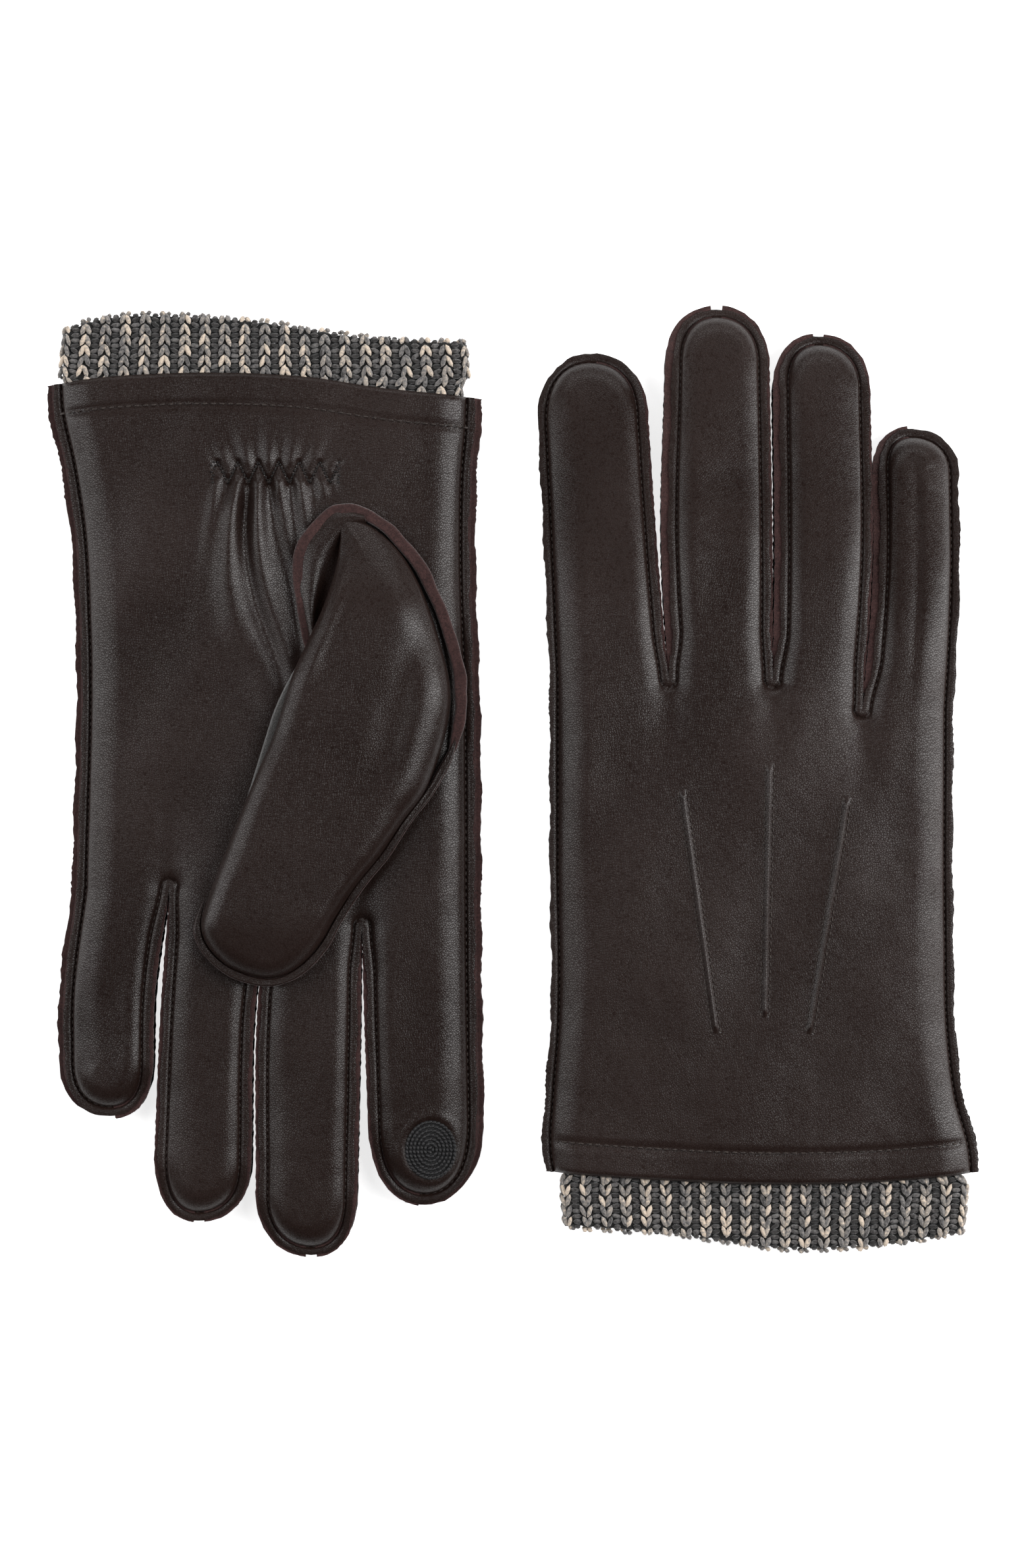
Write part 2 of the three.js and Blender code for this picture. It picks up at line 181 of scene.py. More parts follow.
def place(side, points, finger=None):
    """Glove millimetres become frame metres: droop first, then shift, or reflect and shift."""
    points = np.asarray(points, float)
    if side == "right" and finger:
        points = droop(points, finger)
    sign = 1 if side == "right" else -1
    return (ORIGIN[side] + sign * points) / 1000


# %% [markdown]
# ## From arrays to meshes
#
# A surface is a grid of points, rows by columns. Turning it into a mesh means numbering the points and
# listing four of them for each little face, which array slices do all at once. Two extra helpers
# weld points that lie on each other and copy one small shape along many local frames, for stitches
# and loops of yarn.

# %% Mesh helpers
LEATHER = 1.0
CRISP_ANGLE = 62
WELD_GAP = 2e-6
NO_LENGTH = 1e-6
LOOK_ALONG = 0.2


def grid_faces(rows, cols, wrap=False, flip=False):
    """Quads of a grid: corner (i, j) joined to (i, j+1), (i+1, j+1) and (i+1, j)."""
    i, j = np.meshgrid(np.arange(rows - 1), np.arange(cols if wrap else cols - 1), indexing="ij")
    a = i * cols + j
    b = i * cols + (j + 1) % cols
    quads = np.stack([a, b, b + cols, a + cols], -1).reshape(-1, 4)
    return quads[:, ::-1] if flip else quads


def mesh_object(name, points, faces, materials, weld=False):
    """A smooth-shaded object from an array of points and an array of faces of equal size."""
    points = np.asarray(points, float).reshape(-1, 3)
    faces = np.asarray(faces)
    mesh = bpy.data.meshes.new(name)
    mesh.vertices.add(len(points))
    mesh.vertices.foreach_set("co", points.ravel())
    mesh.loops.add(faces.size)
    mesh.loops.foreach_set("vertex_index", faces.ravel())
    mesh.polygons.add(len(faces))
    mesh.polygons.foreach_set("loop_start", np.arange(len(faces)) * faces.shape[1])
    mesh.update(calc_edges=True)
    if weld:
        shape = bmesh.new()
        shape.from_mesh(mesh)
        bmesh.ops.remove_doubles(shape, verts=shape.verts, dist=WELD_GAP)
        bmesh.ops.dissolve_degenerate(shape, edges=shape.edges, dist=NO_LENGTH)
        shape.to_mesh(mesh)
        shape.free()
    mesh.shade_smooth()
    for material in materials:
        mesh.materials.append(material)
    made = bpy.data.objects.new(name, mesh)
    bpy.context.scene.collection.objects.link(made)
    return made


def faces_out(side, sign):
    """Whether a grid whose rows run along +Y and columns along +X must be flipped to face out."""
    return (sign > 0) != (side == "right")


def sheet_object(name, side, sign, grid, finger, materials, thickness=LEATHER, weld=False):
    """A leather sheet: a grid of outside points, with its thickness laid inwards by Solidify.
    Sign is +1 where rows, columns and the outward side make a right-handed set."""
    rows, cols = grid.shape[:2]
    points = place(side, grid, finger)
    faces = grid_faces(rows, cols, flip=faces_out(side, sign))
    made = mesh_object(name, points, faces, materials, weld)
    wall = made.modifiers.new("thickness", "SOLIDIFY")
    wall.thickness = thickness / 1000
    wall.offset = -1
    wall.material_offset = 1
    wall.material_offset_rim = 1
    crisp = made.modifiers.new("crisp_edges", "EDGE_SPLIT")
    crisp.split_angle = np.radians(CRISP_ANGLE)
    return made


def stands_for(piece, side, nodes):
    """Hides the nodes of the frame whose place a piece takes, if any, and returns the piece."""
    if nodes:
        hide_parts(*[side + "_" + node for node in nodes])
    return piece


def belongs(piece, side, finger, slot, *nodes):
    """Rides the hand, or keeps a finger's piece where place() put it, with its transform baked; stands for
    nodes.
    """
    hand = side + "_hand"
    if finger:
        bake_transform(piece)
    else:
        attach(piece, hand)
    return stands_for(piece, side, nodes)


def bead(sides=6, rings=5):
    """A round-ended rod of length 1 and radius 1 along X: rings of radius sqrt(1 - |2x|^3), but for
    the thousandth that keeps its two ends from closing to a point."""
    turn = np.linspace(0, 2 * np.pi, sides, endpoint=False)
    along = np.linspace(-1, 1, rings)
    radius = np.sqrt(1 - np.abs(along) ** 3 * 0.999)
    x = np.repeat(along[:, None] / 2, sides, 1)
    y = radius[:, None] * np.cos(turn)
    z = radius[:, None] * np.sin(turn)
    return np.stack([x, y, z], -1).reshape(-1, 3), grid_faces(rings, sides, wrap=True)


def unit(ways):
    """Directions brought to length 1."""
    return ways / np.linalg.norm(ways, axis=1, keepdims=True)


def scatter(name, side, finger, centres, along, up, length, radius, finish, flat=0.8):
    """Copies of the bead: local X on along, local Z on up, Y on their cross product."""
    shape, quads = bead()
    along = unit(along)
    across = unit(np.cross(up, along))
    up = np.cross(along, across)
    length = np.broadcast_to(np.asarray(length, float), len(centres))[:, None, None]
    radius = np.broadcast_to(np.asarray(radius, float), len(centres))[:, None, None]
    x, y, z = shape.T[:, None, :, None]
    points = centres[:, None] + x * length * along[:, None]
    points = points + radius * (y * across[:, None] + z * flat * up[:, None])
    count, size = points.shape[:2]
    faces = (quads[None] + (np.arange(count) * size)[:, None, None]).reshape(-1, 4)
    if side == "left":
        faces = faces[:, ::-1]
    return mesh_object(name, place(side, points, finger), faces, [finish])


def resample(path, pitch):
    """Points about a pitch apart along a path of points, and the direction of the path at each."""
    steps = np.linalg.norm(np.diff(path, axis=0), axis=1)
    run = np.concatenate([[0], np.cumsum(steps)])
    count = max(2, int(run[-1] / pitch))
    at = (np.arange(count) + 0.5) * run[-1] / count
    spot = np.stack([np.interp(at, run, path[:, k]) for k in range(3)], 1)
    ahead = np.stack([np.interp(at + LOOK_ALONG, run, path[:, k]) for k in range(3)], 1)
    behind = np.stack([np.interp(at - LOOK_ALONG, run, path[:, k]) for k in range(3)], 1)
    return spot, ahead - behind


def curve(at, stations):
    """A smooth line through (position, value) stations: cubic Hermite with neighbours' slopes."""
    where, value = np.array(stations, float).T
    slope = np.gradient(value, where)
    k = np.clip(np.searchsorted(where, at) - 1, 0, len(where) - 2)
    gap = where[k + 1] - where[k]
    t = np.clip((at - where[k]) / gap, 0, 1)
    near = (1 + 2 * t) * (1 - t) ** 2 * value[k] + t * (1 - t) ** 2 * gap * slope[k]
    far = t * t * (3 - 2 * t) * value[k + 1] + t * t * (t - 1) * gap * slope[k + 1]
    return near + far


def bell(offset, width):
    """exp(-(offset / width)^2): 1 in the middle, and next to nothing two widths away."""
    return np.exp(-((offset / width) ** 2))


# %% [markdown]
# ## Finishes
#
# Dressed lambskin has a grain of tiny rounded cells, half a millimetre to a millimetre across, and a
# soft, broken gloss. Voronoi cells in three dimensions give that grain without stretching where the
# leather rolls over an edge. Its flesh side and its raw edges are suede: reddish, matt and fibrous.
# Yarn is drawn from one number for each loop, so that neighbouring loops differ as marled yarn does. The
# purl loops and the tube under them take a darker copy of it, painted shade between the ribs.

# %% Material helpers
def new_material(name, roughness, **sockets):
    """A Principled material; sockets are plain values set on the shader itself."""
    material = bpy.data.materials.new(name)
    material.use_nodes = True
    shader = material.node_tree.nodes["Principled BSDF"]
    shader.inputs["Roughness"].default_value = roughness
    for socket, value in sockets.items():
        shader.inputs[socket.replace("_", " ")].default_value = value
    return material, material.node_tree, shader


def node(tree, kind, settings=None, **inputs):
    """Adds a node; settings are its properties, inputs its sockets by name or by link."""
    made = tree.nodes.new("ShaderNode" + kind)
    for key, value in (settings or {}).items():
        setattr(made, key, value)
    for key, value in inputs.items():
        socket = made.inputs[key.replace("_", " ")]
        if hasattr(value, "is_linked"):
            tree.links.new(value, socket)
        else:
            socket.default_value = value
    return made


def ramp(tree, factor, stops, interpolation="LINEAR"):
    """A colour ramp through (position, colour) stops."""
    made = tree.nodes.new("ShaderNodeValToRGB")
    made.color_ramp.interpolation = interpolation
    while len(made.color_ramp.elements) < len(stops):
        made.color_ramp.elements.new(0.5)
    for element, (position, colour) in zip(made.color_ramp.elements, stops):
        element.position = position
        element.color = (*colour, 1)
    tree.links.new(factor, made.inputs[0])
    return made.outputs[0]


def object_coords(tree):
    """Object coordinates, in metres of the frame."""
    return node(tree, "TexCoord").outputs["Object"]


def multiplied(tree, factor, colour, by):
    """One colour times another, by a factor."""
    made = node(tree, "Mix", {"data_type": "RGBA", "blend_type": "MULTIPLY"})
    made.inputs["Factor"].default_value = factor
    tree.links.new(colour, made.inputs["A"])
    tree.links.new(by, made.inputs["B"])
    return made.outputs["Result"]


def stretched(tree, value, old, new):
    """A value carried from one range to another."""
    ends = {"From_Min": old[0], "From_Max": old[1], "To_Min": new[0], "To_Max": new[1]}
    return node(tree, "MapRange", Value=value, **ends).outputs["Result"]


# %% Leather, grain side and flesh side
def make_leather():
    """Dark brown: fine Voronoi grain, its cells bent a little by noise; slow noise for tone and gloss;
    the shine breaks up between the cells."""
    material, tree, shader = new_material("brown_leather", 0.33, Specular_IOR_Level=0.33)
    where = object_coords(tree)
    bent = node(tree, "TexNoise", Vector=where, Scale=420.0, Detail=1.0)
    shifted = node(tree, "VectorMath", {"operation": "MULTIPLY_ADD"})
    tree.links.new(bent.outputs["Color"], shifted.inputs[0])
    shifted.inputs[1].default_value = (0.0006, 0.0006, 0.0006)
    tree.links.new(where, shifted.inputs[2])
    bent_where = shifted.outputs[0]
    cells = node(tree, "TexVoronoi", {"feature": "DISTANCE_TO_EDGE"}, Vector=bent_where, Scale=1650.0)
    fine = node(tree, "TexNoise", Vector=where, Scale=2600.0, Detail=2.0)
    slow = node(tree, "TexNoise", Vector=where, Scale=26.0, Detail=3.0, Roughness=0.45)
    browns = [(0.32, (0.0140, 0.0074, 0.0058)), (0.68, (0.0215, 0.0124, 0.0102))]
    tone = ramp(tree, slow.outputs["Fac"], browns)
    pores = ramp(tree, cells.outputs["Distance"], [(0.0, (0.68, 0.65, 0.65)), (0.18, (1, 1, 1))])
    tree.links.new(multiplied(tree, 0.85, tone, pores), shader.inputs["Base Color"])
    gloss = stretched(tree, slow.outputs["Fac"], (0.3, 0.7), (0.27, 0.35))
    tree.links.new(gloss, shader.inputs["Roughness"])
    shine = stretched(tree, cells.outputs["Distance"], (0.0, 0.18), (0.13, 0.38))
    tree.links.new(shine, shader.inputs["Specular IOR Level"])
    domes = [(0.0, (0, 0, 0)), (0.12, (0.55, 0.55, 0.55)), (0.45, (1, 1, 1))]
    height = ramp(tree, cells.outputs["Distance"], domes)
    grain = node(tree, "Bump", Height=height, Strength=0.65, Distance=0.00005)
    soft = node(tree, "Bump", Height=fine.outputs["Fac"], Strength=0.2, Distance=0.00003)
    wave = node(tree, "Bump", Height=slow.outputs["Fac"], Strength=0.6, Distance=0.0030)
    tree.links.new(wave.outputs["Normal"], grain.inputs["Normal"])
    tree.links.new(grain.outputs["Normal"], soft.inputs["Normal"])
    tree.links.new(soft.outputs["Normal"], shader.inputs["Normal"])
    return material


def make_suede():
    """Flesh side and raw edges: reddish brown nap from fine noise, matt, with a little sheen."""
    material, tree, shader = new_material("suede_edge", 0.95, Specular_IOR_Level=0.15, Sheen_Weight=0.35)
    where = object_coords(tree)
    fibre = node(tree, "TexNoise", Vector=where, Scale=1500.0, Detail=5.0, Roughness=0.75)
    patch = node(tree, "TexNoise", Vector=where, Scale=160.0, Detail=2.0)
    tone = ramp(tree, fibre.outputs["Fac"], [(0.3, (0.020, 0.0085, 0.0082)), (0.7, (0.085, 0.040, 0.037))])
    shade = ramp(tree, patch.outputs["Fac"], [(0.3, (0.7, 0.66, 0.66)), (0.7, (1, 1, 1))])
    tree.links.new(multiplied(tree, 1.0, tone, shade), shader.inputs["Base Color"])
    nap = node(tree, "Bump", Height=fibre.outputs["Fac"], Strength=0.8, Distance=0.0003)
    tree.links.new(nap.outputs["Normal"], shader.inputs["Normal"])
    return material


def make_thread(name, dark, light, roughness=0.6):
    """Twisted thread: fine noise between two near tones."""
    material, tree, shader = new_material(name, roughness, Specular_IOR_Level=0.3)
    twist = node(tree, "TexNoise", Vector=object_coords(tree), Scale=3200.0, Detail=2.0)
    tone = ramp(tree, twist.outputs["Fac"], [(0.35, dark), (0.65, light)])
    tree.links.new(tone, shader.inputs["Base Color"])
    strands = node(tree, "Bump", Height=twist.outputs["Fac"], Strength=0.5, Distance=0.0001)
    tree.links.new(strands.outputs["Normal"], shader.inputs["Normal"])
    return material


def make_yarn(name, stops):
    """Marled wool: the loop's own number picks a tone, and noise frays it from strand to strand."""
    material, tree, shader = new_material(name, 0.95, Specular_IOR_Level=0.1, Sheen_Weight=0.5)
    where = object_coords(tree)
    own = node(tree, "Attribute", {"attribute_name": "yarn"})
    ply = node(tree, "TexNoise", Vector=where, Scale=1500.0, Detail=3.0)
    fray = node(tree, "Math", {"operation": "MULTIPLY_ADD"})
    tree.links.new(ply.outputs["Fac"], fray.inputs[0])
    fray.inputs[1].default_value = 1.3
    tree.links.new(own.outputs["Fac"], fray.inputs[2])
    back = node(tree, "Math", {"operation": "SUBTRACT"})
    tree.links.new(fray.outputs[0], back.inputs[0])
    back.inputs[1].default_value = 0.65
    tree.links.new(ramp(tree, back.outputs[0], stops), shader.inputs["Base Color"])
    hair = node(tree, "TexNoise", Vector=where, Scale=2600.0, Detail=4.0)
    wool = node(tree, "Bump", Height=hair.outputs["Fac"], Strength=0.9, Distance=0.0003)
    tree.links.new(wool.outputs["Normal"], shader.inputs["Normal"])
    return material


SHADE_BLACK = (0.02, 0.02, 0.02)
CHARCOAL = (0.052, 0.048, 0.047)
SLATE = (0.185, 0.176, 0.172)
STONE = (0.380, 0.335, 0.292)
OAT = (0.700, 0.580, 0.465)
leather = make_leather()
suede = make_suede()
thread = make_thread("brown_thread", (0.012, 0.008, 0.007), (0.060, 0.046, 0.040))
dark_thread = make_thread("dark_thread", (0.006, 0.005, 0.005), (0.018, 0.014, 0.013))
touch_thread = make_thread("conductive_thread", (0.006, 0.006, 0.007), (0.030, 0.029, 0.030), 0.45)
yarn = make_yarn("marled_yarn", [(0.0, CHARCOAL), (0.3, SLATE), (0.58, STONE), (0.8, OAT)])
# Purl loops and the tube under them: the marled yarn darkened, painted shade between the ribs.
purl_painted_shade_wool = make_yarn("painted_shade_yarn", [(0.0, SHADE_BLACK), (0.5, CHARCOAL), (0.95, SLATE)])
LINING_TONES = [(0.0, (0.02, 0.018, 0.017)), (0.5, (0.06, 0.055, 0.05)), (1.0, SLATE)]
lining_yarn = make_yarn("lining_yarn", LINING_TONES)
finishes = (leather, suede, thread, dark_thread, touch_thread, yarn, purl_painted_shade_wool, lining_yarn)
print("finishes:", [finish.name for finish in finishes])

# %% [markdown]
# ## The pattern's outline
#
# What a glover cuts is an outline, so the outline comes first. Each finger has two edges that are
# smooth curves of Y up to where the tip starts to round, and half an ellipse from there. Neighbouring
# fingers share the point of the crotch between them. The hand has a thumb side and a little-finger
# side, flares towards the hem, and its hem is slightly bowed because the cuff lies slack.

# %% Outlines, in glove millimetres
# Of a finger: "mid", X of its two edges at MID_Y; "round", the Y where its tip starts to round and X of
# the edges there; "tip", its furthest point. The side lines are (Y, X), the hem and rib lines (X, Y).
OUTLINE = {
    "right": {
        "crotch": [(-22.6, 28.5), (5.7, 28.5), (30.1, 20.3)],
        "index": {"mid": (-56.4, -25.4), "round": (98, -58.2, -27.8), "tip": (-43.5, 117.3)},
        "middle": {"mid": (-24.5, 5.8), "round": (113, -23.2, 5.5), "tip": (-8.8, 130.5)},
        "ring": {"mid": (6.3, 33.0), "round": (106, 6.4, 33.2), "tip": (19.3, 122.7)},
        "little": {"mid": (33.5, 57.4), "round": (83, 33.8, 57.7), "tip": (45.2, 96.7)},
        "thumb_side": [(-112, -54.8), (-104, -56.6), (-85, -56.2), (-70, -55.0), (-20, -55.0), (28, -55.0)],
        "little_side": [(-112, 62.6), (-100, 61.6), (-86, 58.0), (-70, 56.0), (-40, 55.2), (28, 55.2)],
        "hem": [(-57, -105.5), (-30, -107.4), (3, -108.8), (35, -108.2), (63, -105.7)],
        "rib_end": [(-54, -120.6), (-20, -123.2), (9, -126.9), (35, -126.0), (59, -122.4)],
    },
    "left": {
        "crotch": [(-23.0, 39.1), (3.8, 40.8), (29.8, 28.5)],
        "index": {"mid": (-56.1, -23.5), "round": (92, -56.6, -24.6), "tip": (-40.3, 116.2)},
        "middle": {"mid": (-22.8, 5.6), "round": (112, -21.8, 6.2), "tip": (-9.0, 130.3)},
        "ring": {"mid": (6.2, 32.2), "round": (103, 7.3, 34.1), "tip": (22.0, 120.7)},
        "little": {"mid": (34.0, 60.9), "round": (76, 34.3, 60.9), "tip": (46.4, 92.2)},
        "thumb_side": [(-112, -56.2), (-100, -55.8), (-85, -54.6), (-70, -54.3), (-20, -55.6), (40, -55.9)],
        "little_side": [(-112, 64.2), (-100, 63.6), (-86, 60.6), (-70, 58.0), (-40, 56.2), (28, 57.2)],
        "hem": [(-57, -106.0), (-28, -108.8), (-9, -111.6), (17, -112.9), (45, -111.9), (64, -109.7)],
        "rib_end": [(-54, -121.7), (-22, -123.6), (8, -127.9), (28, -129.3), (50, -128.4), (61, -124.9)],
    },
}
MID_Y = 60
CROTCH_CLEAR = 14
OUTER_EDGE = {"index": 0, "little": 1}


def side_x(side, y, which):
    """X of the hand's outer seam at Y: which is 'thumb_side' or 'little_side'."""
    return curve(y, OUTLINE[side][which])


def root_points(side, finger):
    """The two points where a finger starts: crotches, or the hand's outer seam level with one."""
    crotch = OUTLINE[side]["crotch"]
    i = FINGERS.index(finger)
    level = crotch[0][1], crotch[2][1]
    left = crotch[i - 1] if i else (float(side_x(side, level[0], "thumb_side")), level[0])
    right = crotch[i] if i < 3 else (float(side_x(side, level[1], "little_side")), level[1])
    return np.array(left), np.array(right)


def finger_edge(side, finger, y, which, inset):
    """X of a finger's edge at Y, moved inwards by inset; beside a crotch only once it is clear of it."""
    left, right = root_points(side, finger)
    shape = OUTLINE[side][finger]
    root, top = (left, right)[which], shape["round"]
    stations = [(root[1], root[0]), (MID_Y, shape["mid"][which]), (top[0], top[1 + which])]
    clear = 1 if OUTER_EDGE.get(finger) == which else smooth((y - root[1]) / CROTCH_CLEAR)
    return curve(y, stations) + (1, -1)[which] * inset * clear


# %% [markdown]
# ## Walking round a finger
#
# A grid that follows the seam keeps the seam crisp: its first lines run along the raw edge, the next
# along the stitches, and the last ones meet on the finger's middle line. Each grid row is a ray from a
# point of the outline to that middle line. The rays of the rounded tip all meet in one point, and the
# points that meet are welded. Along a ray the points are bunched where the shape turns most: at the
# edge, at the stitches, and where the leather rolls up from them.

# %% Rays from the outline to the middle line
STITCH_IN = 2.4
RAY_NODES = np.array([0, 0.5, 1.0, 1.5, 1.9, 2.2, 2.4, 2.5, 2.65, 2.9, 3.3, 3.9, 4.7, 5.7, 6.9])
INNER_NODES = 9
RAY_SPACING = 1.0
TIP_ANGLES = 29
TIP_BLUNT = 0.035


def ray_nodes(reach):
    """Distances from the edge along rays of the given reach: fixed ones, then even ones to the end."""
    last = RAY_NODES[-1]
    rest = last + (reach[:, None] - last) * np.linspace(0, 1, INNER_NODES + 1)[None, 1:]
    return np.concatenate([np.repeat(RAY_NODES[None], len(reach), 0), rest], 1)


def ragged(x, y):
    """How far a raw edge wanders, in millimetres, where it was cut by hand."""
    s = y + 0.5 * x
    return 0.16 * np.sin(2.1 * s) * np.sin(0.83 * s) + 0.09 * np.sin(4.7 * s) + 0.22 * np.sin(0.31 * s)


def rays(outline, spine, loose):
    """Points outline + (spine - outline) * distance / reach, and the distances. The raw edge wanders
    where loose is 1, and keeps to the outline where it is 0, beside a crotch."""
    reach = np.linalg.norm(spine - outline, axis=1)
    distance = ray_nodes(reach)
    wander = np.asarray(loose) * ragged(outline[:, 0], outline[:, 1])
    raw = np.clip(1 - distance / STITCH_IN, 0, 1) * wander[:, None]
    share = (distance + raw) / reach[:, None]
    return outline[:, None] + (spine - outline)[:, None] * share[..., None], distance


def finger_outline(side, finger, insets):
    """Outline and spine points up the left edge, round the tip and down the right. With them come the
    turn, 0 on the edges and 1 at the tip's middle, and 1 for points of the right half, 0 for the left."""
    left, right = root_points(side, finger)
    shape = OUTLINE[side][finger]
    round_y, tip = shape["round"][0], np.array(shape["tip"])
    count = int((round_y - min(left[1], right[1])) / RAY_SPACING)
    t = np.linspace(0, 1, count)
    edges = []
    for which, root in enumerate((left, right)):
        y = mix(root[1], round_y, t)
        edges.append(np.stack([finger_edge(side, finger, y, which, insets[which]), y], 1))
    top_middle = (edges[0][-1] + edges[1][-1]) / 2
    spine = (edges[0] + edges[1]) / 2
    spine[0] = (left + right) / 2
    half = (edges[1][-1, 0] - edges[0][-1, 0]) / 2
    length = tip[1] - round_y - 0.5 * max(insets)
    angle = np.linspace(np.pi, 0, TIP_ANGLES)[1:-1]
    lean = (tip[0] - top_middle[0]) * np.sin(angle) ** 3
    blunt = 1 + TIP_BLUNT * np.sin(2 * angle) ** 2
    across = top_middle[0] + half * np.cos(angle) * blunt + lean
    arc = np.stack([across, round_y + length * np.sin(angle) * blunt], 1)
    outline = np.concatenate([edges[0], arc, edges[1][::-1]])
    middle = np.concatenate([spine, np.repeat(top_middle[None], len(arc), 0), spine[::-1]])
    turn = np.concatenate([np.zeros(count), np.sin(angle), np.zeros(count)])
    is_right = np.concatenate([np.zeros(count), angle < np.pi / 2, np.ones(count)])
    return outline, middle, turn, is_right


# %% [markdown]
# ## The height of the leather
#
# Pressed flat, a glove is a plateau that falls to its seams in a quarter round. The height over the
# seam, as a function of the distance d to the raw edge, is: the sewn edge, a little domed and raised
# at its rim; a groove where the stitches pull; then `lift * sqrt(1 - (1 - (d - stitch)/r)^2)` up to
# the plateau. Outer seams close the back directly to the palm, so they lie at half height.
# The seams beside a gusset lie higher, because the gusset holds the two leathers apart.

# %% Heights
PLATEAU = 5.9
GUSSET_LEVEL = 2.9
OUTER_SEAM = {"level": 0.0, "roll": 8.5}
INNER_SEAM = {"level": GUSSET_LEVEL, "roll": 4.2}
EDGE_RISE = 1.1
RIM_RISE = 0.30
DOME_RISE = 0.30
GROOVE = {"deep": 0.38, "wide": 0.28}


def seam_profile(d, plateau, level, roll):
    """Height at distance d from the raw edge, for a seam at a level with a roll of given radius."""
    foot = level + EDGE_RISE
    across = np.clip(d / STITCH_IN, 0, 1)
    lip = foot + RIM_RISE * (1 - across) ** 2 + DOME_RISE * np.sin(np.pi * across)
    rise = np.clip((d - STITCH_IN) / roll, 0, 1)
    rolled = foot + (plateau - foot) * np.sqrt(1 - (1 - rise) ** 2)
    groove = GROOVE["deep"] * bell(d - STITCH_IN, GROOVE["wide"])
    return np.where(d < STITCH_IN, lip, rolled) - groove


ZIGZAG = {"middle": 2.5, "pitch": 5.6, "half": 2.9, "low": -17.2, "high": 18.4}


def zigzag_wave(x):
    """Triangle wave between -1 and 1: 1 - 4|t - round(t)|, t counting pitches from the middle."""
    t = (x - ZIGZAG["middle"]) / ZIGZAG["pitch"]
    return 1 - 4 * np.abs(t - np.round(t))


FOLDS = (
    (0.95, 4.6, [(-82, 12.5), (-69, 14.3), (-43, 10.0), (-21, 1.3), (0, -4)]),
    (0.75, 2.4, [(-82, 5.4), (-69, 4.8), (-52, 2.2), (-30, -4), (0, -9)]),
    (-1.15, 2.0, [(-82, 8.0), (-69, 9.2), (-50, 6.4), (-30, -0.5), (0, -6)]),
    (-0.9, 2.2, [(-82, -0.4), (-69, -0.6), (-50, -4.0), (0, -12)]),
)
ZIGZAG_COSINE = 0.435


def long_folds(x, y):
    """Two long swells and the two valleys beside them, from the elastic up to the thumb's base."""
    folds = sum(rise * bell(x - curve(y, line), width) for rise, width, line in FOLDS)
    return folds * smooth((y + 84) / 9) * smooth((-14 - y) / 40)


def gathers(x, y):
    """What the wrist elastic draws up: a zigzag groove, short pleats fanning out, and the long folds.
    The groove is measured square to its slanting lines, so its distance is taken times their cosine."""
    away = y - ELASTIC_Y
    up, down = np.clip(away, 0, None), np.clip(-away, 0, None)
    fan = 1 + up / 60 + down / 34
    across = ZIGZAG["middle"] + (x - ZIGZAG["middle"] + 0.10 * up * smooth(up / 60)) / fan
    phase = 2 * np.pi * (across - ZIGZAG["middle"]) / ZIGZAG["pitch"]
    inside = smooth((across - ZIGZAG["low"]) / 3) * smooth((ZIGZAG["high"] - across) / 3)
    deep = 0.62 + 0.38 * np.cos((across - 3) / 7)
    fade_up = np.exp(-((up / (10 + 15 * deep)) ** 1.5)) * smooth(up / 3.2)
    fade_down = np.exp(-((down / 6.5) ** 1.6)) * smooth(down / 4)
    pleats = deep * np.cos(phase) * (0.60 * fade_down - 0.95 * fade_up)
    groove = bell((away - ZIGZAG["half"] * zigzag_wave(x)) * ZIGZAG_COSINE, 0.60)
    pull = -0.30 * bell(away, 4.6) - 0.80 * groove * smooth((3.8 - np.abs(away)) / 0.6)
    clear = smooth((x + 13) / 8 + smooth((-y - 76) / 6))
    return 1.3 * pleats * inside * clear + pull * inside + 1.3 * long_folds(x, y) * clear


CROWN = {1: 0.8, -1: 0.45}
LITTLE_CREASE = [(20, 43.2), (60, 45.6), (96, 45.4)]


def plateau_height(side, sign, x, y):
    """The plateau: slightly crowned and slack, with a shallow valley running down from each crotch.
    The palm has its gathers, and the back one crease along the little finger."""
    height = PLATEAU + CROWN[sign] * (1 - (x / 60) ** 2)
    for cx, cy in OUTLINE[side]["crotch"]:
        fade = np.where(y > cy, 1, smooth((y - cy + 34) / 34))
        height = height - 0.75 * bell(x - cx, 4.6) * fade
    height = height + 0.28 * np.sin(x * 0.11 + 1.3) * np.sin(y * 0.052 + 0.7)
    height = height + 0.14 * np.sin(x * 0.23 - y * 0.09)
    if sign < 0:
        return height + gathers(x, y)
    crease = bell(x - curve(y, LITTLE_CREASE), 1.5)
    return height - 0.40 * crease * smooth((y - 20) / 30) * smooth((90 - y) / 14)


def hand_height(side, sign, x, y, edge_d):
    """Lowest of the seam profiles of the two outer seams and the three crotches."""
    top = plateau_height(side, sign, x, y)
    height = seam_profile(edge_d, top, **OUTER_SEAM)
    for cx, cy in OUTLINE[side]["crotch"]:
        height = np.minimum(height, seam_profile(np.hypot(x - cx, y - cy), top, **INNER_SEAM))
    return height


# %% [markdown]
# ## Hands
#
# The back and the palm are grids from the hem to the line through the crotches. At the top their
# columns are the very points where the fingers start, so that hand and finger meet without a step.
# Towards the hem they spread out, closest in the middle, where the elastic's fine pleats need them;
# beside the outer seams they stay with the seam. At the hem the leather is folded in: it rolls down
# over its last millimetre and a half.

# %% Hand sheets
HEM_STITCH_IN = 8.6
HEM_FOLD = 1.6
HEM_Y = -107.0
SEAM_REACH = 14.0
TOP_HALF = len(RAY_NODES) + INNER_NODES
STRETCHES = ((0, 0.02, 7), (0.02, 0.11, 14), (0.11, 0.23, 48), (0.23, 0.90, 84), (0.90, 1.002, 27))


